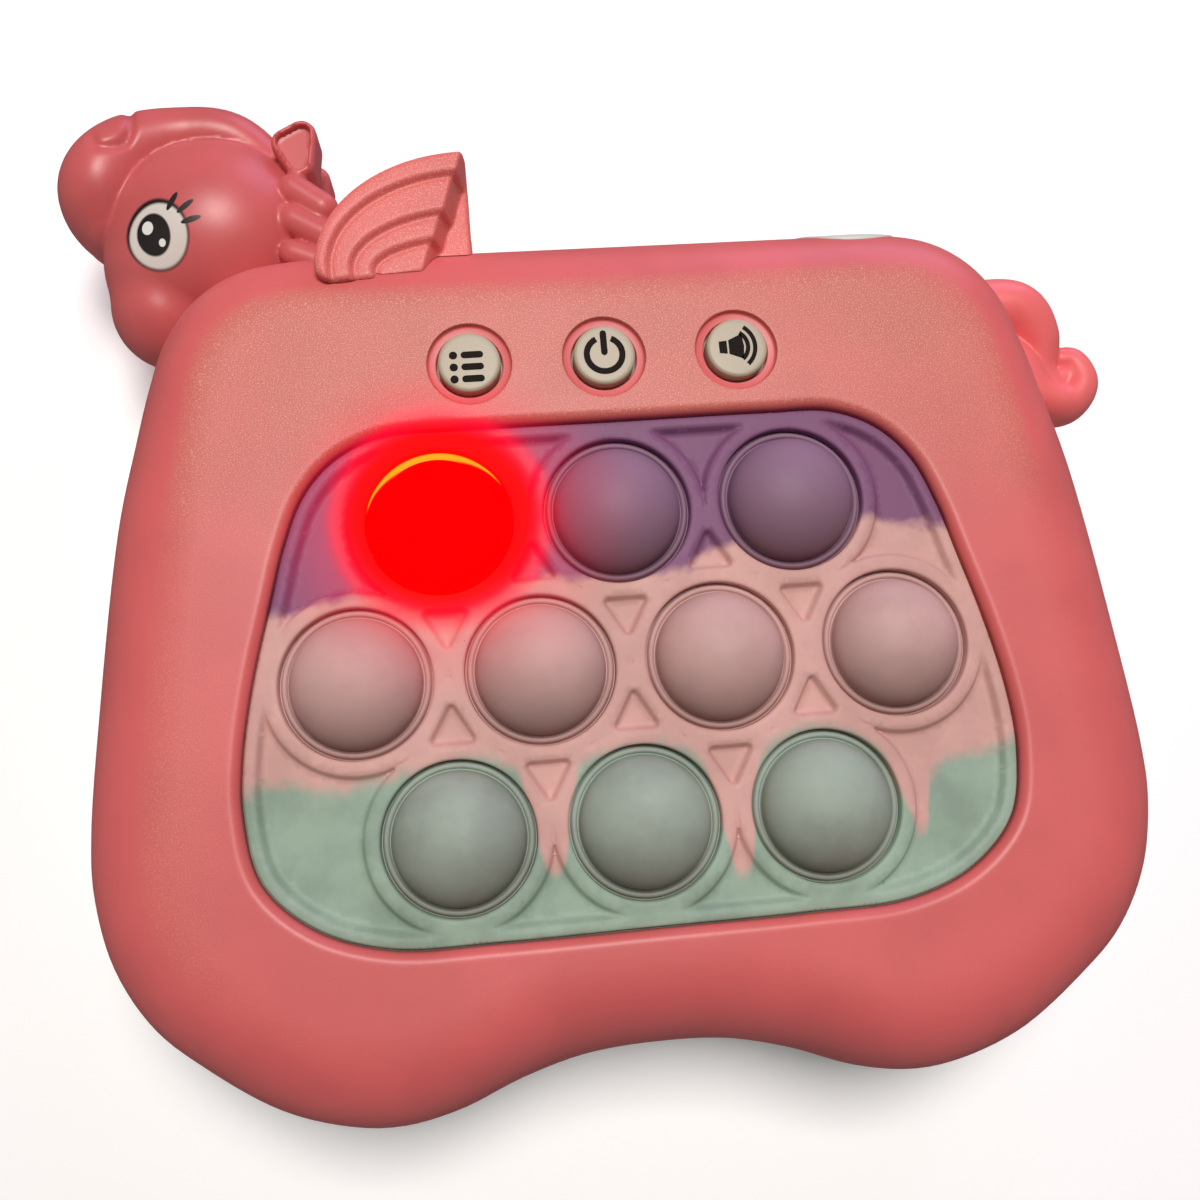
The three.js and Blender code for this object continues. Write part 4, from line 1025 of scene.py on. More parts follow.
def carved(name, field, low, high, step):
    """An object with the surface of a field, drawn onto it closely."""
    points, quads = surface_net(field, np.array(low, float), np.array(high, float), step)
    small = step / 10
    for _ in range(3):
        gap = field(points)
        slope = np.stack([(field(points + small * way) - gap) / small for way in np.eye(3)], 1)
        move = slope * (gap / np.maximum((slope ** 2).sum(1), 0.2))[:, None]
        points = points - np.clip(move, -step / 3, step / 3)
    return mesh_object(name, points, quads)


# The body's rounded sides

def body_ring(inset, height):
    """A ring round the body, drawn in from its edge."""
    spots = BODY + INWARD * np.broadcast_to(inset, len(BODY))[:, None]
    return at_height(spots, height)


def pillow(side, skin, steps, start=0.0):
    """Rings of the body's rounded side, from the seam to the flat face; side is 1 or -1."""
    rise = FACE - SEAM if side > 0 else SEAM
    reach = np.minimum(FRONT_ROUND if side > 0 else BACK_ROUND, ROOM - LIP_MARGIN)
    rings = []
    for step in range(steps + 1):
        turn = step / steps * math.pi / 2
        inset = skin + (reach - skin) * (1 - max(math.cos(turn), 0) ** (2 / ROUND_POWER))
        height = max(start, (rise - skin) * math.sin(turn) ** (2 / ROUND_POWER))
        rings.append(body_ring(inset, SEAM + side * height))
    return rings


def flat_ring(side, skin, distance):
    """A ring on the flat face, some way in from where it starts."""
    reach = np.minimum(FRONT_ROUND if side > 0 else BACK_ROUND, ROOM - LIP_MARGIN)
    height = FACE - skin if side > 0 else skin
    return body_ring(reach + distance, height)


def edge_rings(side):
    """The small round edge along the seam."""
    return [body_ring(inset, SEAM + side * height) for inset, height in (
        (0.4, GAP / 2), (0.2, 0.2), (0.06, 0.34))]


def inner_wall(shape, side, foot, holes=()):
    """Adds a shell's inner wall to its outer one, from the foot at the seam to its flat face."""
    inner = [shape.loop(ring) for ring in pillow(side, WALL, INNER_STEPS, GAP / 2)]
    for first, second in zip(inner, inner[1:]):
        shape.skin(second, first)
    shape.fill(inner[-1], holes, flipped=True)
    shape.skin(inner[0], foot)


def envelope(skin):
    """The whole body as one closed mesh, a skin's depth under its surface."""
    shape = Shape()
    rings = [*pillow(-1, skin, ROUND_STEPS)[::-1], *pillow(1, skin, ROUND_STEPS)[1:]]
    bottom, top = shape.tube(rings)
    shape.fill(top)
    shape.fill(bottom, flipped=True)
    return from_shape("envelope", shape)


def turned_block(x, y, turn, low, high):
    """A box, turned about Z by degrees and shifted."""
    line = rectangle(low[0], high[0], low[1], high[1])
    cosine, sine = math.cos(math.radians(turn)), math.sin(math.radians(turn))
    spun = line @ np.array([(cosine, sine), (-sine, cosine)])
    return prism(spun + [x, y], SEAM + low[2], SEAM + high[2])


def head_tab(play):
    """The tab that locks the head between the shells."""
    return turned_block(-0.76 * BODY_HIGH[0], 0.92 * BODY_HIGH[1], -135,
                        (-6 - play, -15, -4 - play), (6 + play, 8 + play, 4 + play))


def wing_tab(side, play):
    """The tab that locks a wing in its shell."""
    low, high = box_of("wing_front" if side > 0 else "wing_back")
    middle = (low[0] + high[0]) / 2
    level = (high[2] if side > 0 else low[2]) - side * 8.4
    return block(middle - 5 - play, middle + 5 + play, low[1] - play, BODY_HIGH[1] + 4,
                 level - 3 - play, level + 3 + play)


def tail_tab(play):
    """The tab that locks the tail between the shells."""
    x, y = TAIL_ROOT
    return block(x - WALL - 5 - play, x + 5.6, y - 4.5 - play, y + 4.5 + play,
                 SEAM - 3 - play, SEAM + 3 + play)


def tab_slots():
    """The slots for all the tabs."""
    return [head_tab(GAP), wing_tab(1, GAP), wing_tab(-1, GAP), tail_tab(GAP)]


def tongue_line(play):
    """The outline, across and up, of the back shell's tongue."""
    radius = TONGUE_RADIUS + play
    arch = [(TONGUE_X + radius * math.cos(turn), TONGUE_TOP - TONGUE_RADIUS + radius * math.sin(turn))
            for turn in np.linspace(0, math.pi, 25)]
    return np.array([(TONGUE_X + radius, TONGUE_BOTTOM), *arch, (TONGUE_X - radius, TONGUE_BOTTOM)])


def tongue_space(play):
    """The upright space of the tongue."""
    line = tongue_line(play)
    shape = Shape()
    near = np.column_stack([line[:, 0], np.full(len(line), BODY_HIGH[1] - TONGUE_DEPTH), line[:, 1]])
    far = near + [0, TONGUE_DEPTH + OVERRUN, 0]
    first, last = shape.loop(near), shape.loop(far)
    shape.skin(last, first)
    shape.faces += [tuple(first), tuple(last[::-1])]
    made = from_shape("tongue_space", shape)
    if signed_volume(made.data) < 0:
        made.data.flip_normals()
    return made


# Operators

class PieceOperator:
    """What the operators of the pieces share."""

    bl_options = {"REGISTER", "UNDO"}

    def execute(self, context):
        """Builds the pieces."""
        self.build(context.scene.bubble_game_sizes)
        return {"FINISHED"}


class BUBBLEGAME_OT_front_shell(PieceOperator, bpy.types.Operator):
    """Front shell, with its window, its lip and the recesses of the buttons"""

    bl_idname = "bubble_game.front_shell"
    bl_label = "Front Shell"

    def build(self, sizes):
        lip = sizes.lip / MM
        inner_face = FACE - WALL
        shape = Shape()
        sides = [*edge_rings(1), *pillow(1, 0, ROUND_STEPS, 0.6)[1:]]
        sides += [flat_ring(1, 0, distance) for distance in (0.3, 0.7)]
        foot, rim = shape.tube(sides)
        lip_rings = [at_height(widened(WINDOW, lip + 0.35), FACE)]
        for turn in np.radians(np.linspace(0, 90, 9)):
            lip_rings.append(at_height(widened(WINDOW, lip * (1 - math.sin(turn))),
                                       FACE - lip * (1 - math.cos(turn))))
        lip_rings.append(at_height(WINDOW, inner_face))
        lip_top, lip_foot = shape.tube(lip_rings)
        tops, feet = [lip_top], [lip_foot]
        for name in BUTTONS:
            x, y, _ = centre_of(name)
            radius = sizes.recess / MM
            profile = [(radius + 0.4, 0), (radius + 0.2, 0), (radius + 0.08, 0.03), (radius, 0.14),
                       (radius - 0.04, 0.5), (radius - 0.14, 0.7), (radius - 0.35, RECESS_DEPTH),
                       (BUTTON_HOLE + 0.2, RECESS_DEPTH), (BUTTON_HOLE + 0.07, RECESS_DEPTH + 0.04),
                       (BUTTON_HOLE, RECESS_DEPTH + 0.15), (BUTTON_HOLE, WALL)]
            top, foot_loop = shape.tube([
                at_height(circle(x, y, reach, 64), FACE - depth) for reach, depth in profile])
            tops.append(top)
            feet.append(foot_loop)
        shape.fill(rim, tops)
        inner_wall(shape, 1, foot, feet)
        shell = from_shape("front_shell_skin", shape)
        bosses = []
        for node in SCREW_NODES:
            x, y, _ = centre_of(node)
            boss = post(x, y, BOSS_RADIUS, BOSS_BOTTOM, inner_face + WALL / 2)
            hole = post(x, y, SCREW_HOLE, BOSS_BOTTOM - OVERRUN, SCREW_HOLE_TOP)
            bosses.append(combine(boss, [hole], "DIFFERENCE"))
        combine(shell, bosses, "UNION")
        combine(shell, [tongue_space(GAP), *tab_slots()], "DIFFERENCE")
        finished(shell, finish(pink_plastic, 39.2, 39.95, 0.1), replaces=["front_shell"])


class BUBBLEGAME_OT_back_shell(PieceOperator, bpy.types.Operator):
    """Back shell, with its battery bay, screw wells, grille and tongue"""

    bl_idname = "bubble_game.back_shell"
    bl_label = "Back Shell"

    def build(self, sizes):
        shape = Shape()
        sides = [*edge_rings(-1), *pillow(-1, 0, ROUND_STEPS, 0.6)[1:]]
        sides += [flat_ring(-1, 0, distance) for distance in (0.4, 1.0)]
        foot, rim = shape.tube(sides)
        shape.fill(rim)
        inner_wall(shape, -1, foot)
        shell = from_shape("back_shell_skin", shape.flip())

        half = DOOR_HIGH[0] + GAP
        low_y = DOOR_LOW[1] - GAP
        high_y = DOOR_HIGH[1] - FLANGE_REACH
        bay_half = box_of("positive_contact")[1][0] + GAP
        bay_low = min(box_of(node)[0][1] for node in CELL_NODES) - CELL_ROOM
        bay_high = max(box_of(node)[1][1] for node in CELL_NODES) + CELL_ROOM
        roof = box_of("battery_1")[1][2] + GAP
        ledge = WALL + GAP
        wells = [centre_of(node)[:2] for node in SCREW_NODES]
        screw_y = centre_of("door_screw")[1]
        solids = [
            block(-half - LEDGE_WALL, half + LEDGE_WALL, low_y - LEDGE_WALL, high_y + BAY_WALL,
                  SHELF_BOTTOM, ledge + LEDGE_WALL),
            block(-bay_half - BAY_WALL, bay_half + BAY_WALL, bay_low - BAY_WALL, bay_high + BAY_WALL,
                  ledge, roof + BAY_WALL),
            post(0, screw_y, LID_POST, ledge, BOSS_BOTTOM - OVERRUN),
            *(post(x, y, WELL_RADIUS, SHELF_BOTTOM, WELL_TOP) for x, y in wells),
            post(*SPEAKER, SPEAKER_RING, SHELF_BOTTOM, WALL + SPEAKER_RISE, 64),
        ]
        combine(shell, solids, "UNION")
        combine(shell, [post(*SPEAKER, SPEAKER_SEAT, WALL, WALL + SPEAKER_RISE + 2, 64)], "DIFFERENCE")
        grille = blank("grille")
        grown(grille, tree_named("perforation", perforation_tree), Pitch=sizes.grille_pitch,
              Radius=sizes.grille_hole, Depth=(WALL * 2 + OVERRUN * 2) * MM)
        from_origin(grille, *SPEAKER)
        tab_room = LID_TAB_HALF + GAP
        tabs = [block(x - tab_room, x + tab_room, high_y - 4.5, high_y + 3.6, WALL, WALL + 3.6)
                for x in LID_TAB_PLACES]
        tags = []
        for node in ("positive_contact", "negative_contact"):
            tag_low, tag_high = box_of(node)
            middle = tag_high[0] if tag_high[0] > 0 else tag_low[0]
            tag_y = tag_high[1] if tag_high[1] > 0 else tag_low[1]
            tag_y -= math.copysign(TAG_INSET, tag_y)
            tags.append(block(middle - TAG_ROOM_X, middle + TAG_ROOM_X, tag_y - TAG_ROOM_Y,
                              tag_y + TAG_ROOM_Y, roof - OVERRUN, roof + 3))
        cuts = [
            prism(rectangle(-half, half, low_y, high_y, sizes.door_corner / MM), -OVERRUN, ledge),
            prism(rectangle(-bay_half, bay_half, bay_low, bay_high, BAY_CORNER), -OVERRUN, roof),
            *tabs, *tags,
            post(0, screw_y, LID_SCREW_BORE, 0, BOSS_BOTTOM),
            grille,
            *(well_tool(x, y) for x, y in wells),
        ]
        combine(shell, [*cuts, *tab_slots()], "DIFFERENCE")
        tongue = combine(combine(envelope(-0.2), [tongue_space(0)], "INTERSECT"), [envelope(WALL)],
                         "DIFFERENCE")
        combine(shell, [tongue], "UNION")
        finished(shell, finish(pale_plastic), replaces=["back_shell"], sharp=34)


def blank(name):
    """An object with an empty mesh, for a tree to fill."""
    made = bpy.data.objects.new(name, bpy.data.meshes.new(name))
    bpy.context.scene.collection.objects.link(made)
    return made


def well_tool(x, y):
    """The cut of a screw well, with a rounded mouth, and the bore above it."""
    top = BOSS_BOTTOM + OVERRUN
    profile = [(0, -OVERRUN), (WELL_MOUTH, -OVERRUN), (WELL_MOUTH, 0), (WELL_BORE + 0.35, 0.15),
               (WELL_BORE + 0.05, 0.6), (WELL_BORE, WELL_DEPTH), (SCREW_HOLE, WELL_DEPTH),
               (SCREW_HOLE, top), (0, top)]
    return turned("well_tool", profile, 48, x, y)


# The silicone pad

def bubble_triangles():
    """Middles of the triangles between neighbouring bubbles, and which way each one points."""
    found = []
    pitch = BUBBLE_PLACES[1][0] - BUBBLE_PLACES[0][0]
    count = len(BUBBLE_PLACES)
    for i in range(count):
        for j in range(i + 1, count):
            for k in range(j + 1, count):
                trio = BUBBLE_PLACES[[i, j, k]]
                sides = np.linalg.norm(trio - np.roll(trio, 1, 0), axis=1)
                if sides.max() < pitch * 1.1:
                    middle = trio.mean(0)
                    above = (trio[:, 1] > middle[1]).sum()
                    found.append((middle, 1 if above == 2 else -1, trio))
    return found


TRIANGLE_RADIUS = 2.6
TRIANGLE_ROUND = 0.5
LAND_WIDTH = 2.1
RIM_WIDTH = 1.75
LAND_RISE = 1.2
RING_RADIUS = 10.0
FILLET = 0.8
EDGE_ROUND = 0.35
CONTOURS = (-0.4, -0.14, 0.14, 0.4)
LATTICE_PITCH = 0.72
LATTICE_ROW = 0.62
LATTICE_ROOM = 0.33


def triangle_corners(middle, way):
    """The corners of a small upright or hanging triangle."""
    angles = np.radians(np.array([90, 210, 330]) * way)
    return middle + TRIANGLE_RADIUS * np.stack([np.cos(angles), np.sin(angles)], 1)


def from_bubbles(points):
    """The distance from each flat point to the nearest bubble's middle."""
    return np.min([np.linalg.norm(points - place, axis=1) for place in BUBBLE_PLACES], 0)


def cell_field(points, trio):
    """The distance to the triangle between three bubbles' middles."""
    middle = trio.mean(0)
    sides = []
    for a, b in zip(trio, np.roll(trio, -1, 0)):
        way = np.array([b[1] - a[1], a[0] - b[0]]) / np.linalg.norm(b - a)
        if (a - middle) @ way < 0:
            way = -way
        sides.append((points - a) @ way)
    return np.max(sides, 0)


def land_field(points, edge):
    """Below zero on the pad's raised lands, and above it on the sunk ones."""
    rim = distance_to(points, edge) - RIM_WIDTH
    land = blend(rim, from_bubbles(points) - RING_RADIUS - LAND_WIDTH, 0.9)
    for *_, trio in bubble_triangles():
        land = np.minimum(land, cell_field(points, trio))
    for middle, way, _ in bubble_triangles():
        land = np.maximum(land, TRIANGLE_ROUND - polygon_field(points, triangle_corners(middle, way)))
    return land


def pad_height(points, edge):
    """The height of the pad's upper face."""
    land = land_field(points, edge)
    share = np.clip(0.5 - land / FILLET, 0, 1)
    share = share * share * (3 - 2 * share)
    height = LAND - LAND_RISE + LAND_RISE * share
    for reach in (distance_to(points, edge), from_bubbles(points) - RING_RADIUS):
        short = np.clip(EDGE_ROUND - reach, 0, EDGE_ROUND)
        height = height - (EDGE_ROUND - np.sqrt(np.maximum(EDGE_ROUND ** 2 - short ** 2, 0))) * 0.8
    return height


class BUBBLEGAME_OT_pad(PieceOperator, bpy.types.Operator):
    """Silicone pad, with a raised ring round each bubble and sunk fields between them"""

    bl_idname = "bubble_game.pad"
    bl_label = "Bubble Pad"

    def build(self, sizes):
        edge = evenly(widened(WINDOW, -GAP), 360)
        fine_edge = evenly(edge, 1440)
        loops = [edge, *(circle(*place, RING_RADIUS, 96) for place in BUBBLE_PLACES)]
        steps = (0.12, EDGE_ROUND)
        lines = [np.vstack([line, line[:1]]) for line in (
            *(evenly(widened(edge, -step), 360) for step in steps),
            *(evenly(widened(edge, -RIM_WIDTH - shift), 360) for shift in CONTOURS),
            *(circle(*place, RING_RADIUS + step, 96) for place in BUBBLE_PLACES for step in steps),
        )]
        for place in BUBBLE_PLACES:
            for shift in CONTOURS:
                lines.append(circle(*place, RING_RADIUS + LAND_WIDTH + shift, 120))
        for middle, way, _ in bubble_triangles():
            for shift in CONTOURS:
                lines.append(rounded(triangle_corners(middle, way), TRIANGLE_ROUND + shift))
        extra = []
        for line in lines:
            away = from_bubbles(line)
            keep = np.abs(land_field(line, fine_edge)) < 0.62
            keep |= (away < RING_RADIUS + 0.5) | (distance_to(line, fine_edge) < 0.5)
            keep &= inside_line(line, edge) & (away > RING_RADIUS + 0.05)
            extra.append(line[keep])
        extra = thinned(np.vstack(extra), 0.1)
        low, high = edge.min(0), edge.max(0)
        lattice = []
        for i, y in enumerate(np.arange(low[1], high[1], LATTICE_ROW)):
            row = np.arange(low[0] + (i % 2) * LATTICE_PITCH / 2, high[0], LATTICE_PITCH)
            lattice.append(np.column_stack([row, np.full(len(row), y)]))
        lattice = np.vstack(lattice)
        lattice = lattice[inside_line(lattice, edge) & (from_bubbles(lattice) > RING_RADIUS + 0.5)
                          & (distance_to(lattice, fine_edge) > 0.5)]
        lattice = apart_from(lattice, extra, LATTICE_ROOM)
        self.make_pad(edge, loops, np.vstack([extra, lattice]), fine_edge)

    def make_pad(self, edge, loops, extra, fine_edge):
        """Joins the upper face, the walls, the flange and the lower face."""
        made, triangles, sources = triangulated(np.vstack([*loops, extra]), loops)
        shape = Shape()
        top = shape.loop(at_height(made, pad_height(made, fine_edge)))
        shape.faces.extend(top[triangles].tolist())
        numbers = {source: number for number, found in enumerate(sources) for source in found}
        starts = np.cumsum([0, *(len(line) for line in loops)])
        tops = [top[[numbers[i] for i in range(start, end)]] for start, end in zip(starts, starts[1:])]
        flange_top = FACE - WALL - GAP
        reach = widened(edge, FLANGE_REACH + GAP)
        walls = [shape.loop(ring) for ring in (
            at_height(edge, flange_top), at_height(reach, flange_top), at_height(reach, PAD_BOTTOM))]
        for upper, lower in zip([tops[0], *walls], walls):
            shape.skin(lower, upper)
        feet = []
        for line, upper in zip(loops[1:], tops[1:]):
            foot = shape.loop(at_height(line, PAD_BOTTOM))
            shape.skin(upper, foot)
            feet.append(foot)
        shape.fill(walls[-1], feet, flipped=True)
        pad = from_shape("bubble_pad_skin", shape)
        finished(pad, finish(pad_silicone), replaces=["bubble_pad"], sharp=60)


def rounded(corners, radius):
    """Points on the outline of a polygon widened by a radius."""
    middle = corners.mean(0)
    fine = evenly(corners, 240)
    way = fine - middle
    way /= np.linalg.norm(way, axis=1)[:, None]
    for _ in range(8):
        fine = fine + way * (radius - polygon_field(fine, corners))[:, None]
    return evenly(fine, 60)


def thinned(points, spacing):
    """Points of which no two lie closer than a spacing."""
    tree = KDTree(len(points))
    for i, point in enumerate(points):
        tree.insert((*point, 0), i)
    tree.balance()
    kept = np.ones(len(points), bool)
    for i, point in enumerate(points):
        if kept[i]:
            for _, j, _ in tree.find_range((*point, 0), spacing):
                if j > i:
                    kept[j] = False
    return points[kept]


def apart_from(points, others, spacing):
    """Those points that keep a spacing to all of the others."""
    tree = KDTree(len(others))
    for i, other in enumerate(others):
        tree.insert((*other, 0), i)
    tree.balance()
    return np.array([point for point in points if tree.find((*point, 0))[2] > spacing])


DOME_WALL = 1.2
# The wave of the skirt round a dome: how far out from the dome, and how high over the skirt
SKIRT_WAVE = [(0.03, 0.12), (0.12, 0), (0.24, 0.02), (0.36, 0.3), (0.5, 0.44), (0.7, 0.47),
              (0.88, 0.4), (1.0, 0.22), (1.08, -0.1), (1.18, -0.3)]


class BUBBLEGAME_OT_bubbles(PieceOperator, bpy.types.Operator):
    """Ten silicone bubbles, each a dome on a thin skirt"""

    bl_idname = "bubble_game.bubbles"
    bl_label = "Bubbles"

    def build(self, sizes):
        low, high = box_of(BUBBLES[0])
        radius = sizes.dome_radius / MM
        skirt = low[2] + 1.0
        rise = high[2] - skirt - 0.35
        crown = high[2] - DOME_WALL
        outside = [(radius * math.cos(turn), skirt + 0.35 + rise * math.sin(turn))
                   for turn in np.radians(np.linspace(90, 4, 24))]
        inside = [((radius - DOME_WALL) * math.cos(turn), low[2] + (crown - low[2]) * math.sin(turn))
                  for turn in np.radians(np.linspace(0, 90, 14))]
        edge = RING_RADIUS - 0.06
        profile = [
            (0, high[2]), *outside[1:], *((radius + out, skirt + up) for out, up in SKIRT_WAVE),
            (edge, skirt - 0.32), (edge, low[2]), *inside[:-1], (0, crown),
        ]
        for name, (x, y) in zip(BUBBLES, BUBBLE_PLACES):
            bubble = turned(f"{name}_dome", profile, 96, x, y)
            spots = np.array([vertex.co for vertex in bubble.data.vertices]) - MIDDLE
            # How far towards its lower side each point of a dome lies; the dome's finish paints shade
            # with it.
            lower = 0.5 - (spots[:, 1] / MM - y) / radius / 2
            bubble.data.attributes.new("lower", "FLOAT", "POINT").data.foreach_set("value", lower)
            lit = name == BUBBLES[0]
            finished(bubble, finish(lit_silicone if lit else bubble_silicone),
                     name, [name], 50)


# Buttons and their signs

def bar(start, end, width):
    """The outline of a bar with round ends."""
    start, end = np.array(start, float), np.array(end, float)
    turn = math.atan2(end[1] - start[1], end[0] - start[0])
    ends = []
    for middle, base in ((end, turn - math.pi / 2), (start, turn + math.pi / 2)):
        for step in np.linspace(0, math.pi, 9):
            ends.append(middle + width / 2 * np.array([math.cos(base + step), math.sin(base + step)]))
    return np.array(ends)


def bow(radius, start, end, width, middle=(0, 0)):
    """The outline of a round band, between two angles in degrees."""
    turns = np.radians(np.linspace(start, end, 33))
    ways = np.stack([np.cos(turns), np.sin(turns)], 1)
    outer = ways * (radius + width / 2)
    inner = ways[::-1] * (radius - width / 2)
    return np.vstack([outer, inner]) + middle


def list_sign():
    """Three dots, each with a bar."""
    rows = [(-2.1, 0.95), (-2.1, -0.75), (-2.1, -2.45)]
    return [line for x, y in rows for line in (
        circle(x, y, 0.56, 20), bar((x + 1.5, y), (x + 3.6, y), 0.95))]


def power_sign():
    """A ring with a gap at its top, and a bar in the gap."""
    return [bow(2.45, 115, 425, 0.85), bar((0, 0.3), (0, 3.0), 0.9)]


def sound_sign():
    """A loudspeaker and two waves."""
    return [
        np.array([(-2.55, -0.75), (-1.45, -0.9), (-1.45, 1.0), (-2.55, 0.9)]),
        np.array([(-1.2, -0.95), (0.75, -1.75), (0.95, 0.1), (0.7, 1.9), (-1.2, 1.05)]),
        bow(2.35, -52, 56, 0.62, (-0.85, 0.1)), bow(3.4, -50, 54, 0.6, (-0.9, 0.1)),
    ]


class BUBBLEGAME_OT_buttons(PieceOperator, bpy.types.Operator):
    """Three round buttons with their signs"""

    bl_idname = "bubble_game.buttons"
    bl_label = "Buttons"

    def build(self, sizes):
        for name, sign in zip(BUTTONS, (list_sign, power_sign, sound_sign)):
            low, high = box_of(name)
            x, y, _ = centre_of(name)
            flange = FACE - WALL - GAP
            top = high[2]
            radius = sizes.button_radius / MM
            profile = [
                (0, top), (radius * 0.55, top - 0.01), (radius - 0.75, top - 0.04),
                *arc(radius - 0.55, top - 0.6, 0.55, 80, 0, 6), (radius, flange), (5.2, flange),
                (5.2, flange - 1.2), (1.8, flange - 1.2), (1.8, low[2]), (0, low[2]),
            ]
            finished(turned(f"{name}_cap", profile, 72, x, y), finish(white_plastic),
                     name, [name])
            shape = Shape()
            for line in sign():
                spots = line + [x, y]
                foot, crest = shape.tube([at_height(spots, top - 0.12), at_height(spots, top + 0.03)])
                shape.fill(crest)
                shape.fill(foot, flipped=True)
            finished(from_shape(f"{name}_sign", shape), finish(printed_ink), name)


# Head, wings and tail

def on_skull(x, y):
    """A place given in shares of the skull's radii."""
    return np.array([SKULL[0] + x * SKULL_RADII[0], SKULL[1] + y * SKULL_RADII[1]])


FORELOCK = [(0.62, 0.7, 3.2), (0.2, 0.99, 5.0), (-0.28, 1.01, 5.6), (-0.74, 0.8, 7.0),
            (-0.96, 0.46, 7.6), (-0.93, 0.16, 5.6)]
CURL_SHARES = [(-0.93, 1.56), (-0.74, 1.28), (-0.62, 0.98), (-0.68, 0.72), (-0.88, 0.66),
               (-0.96, 0.82)]
TUFTS = [((0.82, 0.22), (1.08, 0.01), 2.4), ((0.81, -0.11), (1.09, -0.29), 2.35),
         ((0.8, -0.46), (1.05, -0.577), 2.1)]
TUFT_HALF = 8.0
EAR_SHARES = [(0.778, 0.703), (0.928, 0.79), (0.896, 0.477)]
EAR_ROUND = 2.2
EAR_RIM = 0.9
EAR_MIDDLE = 6.2
EAR_HALF = 3.9
EAR_EDGE = 1.5
HEAD_STEP = 0.42


def plate_field(flat, height, half, edge):
    """A flat field given a thickness, with round edges."""
    side, face = flat + edge, np.abs(height) - half + edge
    within = np.minimum(np.maximum(side, face), 0)
    return np.hypot(np.maximum(side, 0), np.maximum(face, 0)) + within - edge


def ear_field(points, side):
    """A scooped ear on one side of the head."""
    height = side * (points[:, 2] - SEAM) - EAR_MIDDLE
    corners = [on_skull(x, y) for x, y in EAR_SHARES]
    outer = polygon_field(points, corners) - EAR_ROUND
    scoop = np.maximum(outer + EAR_RIM, EAR_HALF - 1.6 - height)
    return carve(plate_field(outer, height, EAR_HALF, EAR_EDGE), scoop, 0.8)


def tuft_field(points, start, end, radius):
    """A tuft of the neck: a bar with a round end and round edges."""
    run = end - start
    flat = points[:, :2] - start
    share = np.clip(flat @ run / (run @ run), 0, 1)
    reach = np.linalg.norm(flat - share[:, None] * run, axis=1)
    return np.hypot(reach, np.maximum(np.abs(points[:, 2] - SEAM) - TUFT_HALF, 0)) - radius


def head_field(points):
    """Skull, cheek, muzzle, forelock, ears and neck tufts."""
    skull = egg(points, SKULL, SKULL_RADII)
    cheek = egg(points, [*on_skull(-0.4, -0.35), SEAM], [10.2, 10.2, 11])
    muzzle = egg(points, [*on_skull(-0.5, -0.79), SEAM], [7.7, 8.3, 8.8], 20)
    face = blend(blend(skull, cheek, 2.0), muzzle, 1.3)
    for start, end, radius in TUFTS:
        face = blend(face, tuft_field(points, on_skull(*start), on_skull(*end), radius), 0.6)
    for side in (1, -1):
        face = blend(face, ear_field(points, side), 0.6)
    hair = lock_field(points, [(*on_skull(x, y), radius) for x, y, radius in FORELOCK], 1.5)
    hair = hair + groove(points, [on_skull(x, y) for x, y in CURL_SHARES], 0.7, 0.55)
    return blend(face, hair, 0.4)


class BUBBLEGAME_OT_head(PieceOperator, bpy.types.Operator):
    """The pony's head, in two halves"""

    bl_idname = "bubble_game.head"
    bl_label = "Head"

    def build(self, sizes):
        low = np.minimum(box_of("head_front")[0], box_of("head_back")[0]) - 2
        high = np.maximum(box_of("head_front")[1], box_of("head_back")[1]) + 2
        whole = carved("head", head_field, low, high, HEAD_STEP)
        rooms = [wing_room(1), wing_room(-1)]
        combine(whole, [envelope(-BODY_CLEARANCE), *rooms], "DIFFERENCE")
        combine(whole, [head_tab(0)], "UNION")
        for side, node in ((1, "head_front"), (-1, "head_back")):
            half = whole.copy()
            half.data = whole.data.copy()
            half.name = f"{node}_skin"
            bpy.context.scene.collection.objects.link(half)
            near, far = sorted((SEAM + side * GAP / 4, SEAM + side * FACE))
            keep = block(low[0] - 5, high[0] + 5, low[1] - 20, high[1] + 5, near, far)
            combine(half, [keep], "INTERSECT")
            finished(half, finish(head_plastic), replaces=[node], sharp=50)
        discard(whole)


EYE = (-61.9, 67.8)
EYE_WHITE = (0.72, 0.66, 0.6)
EYE_GLINT = (0.8, 0.78, 0.74)
# The turn of each lash in degrees, and its distance from the eye's middle
LASHES = [(58, 4.9), (36, 5.5), (14, 5.3)]


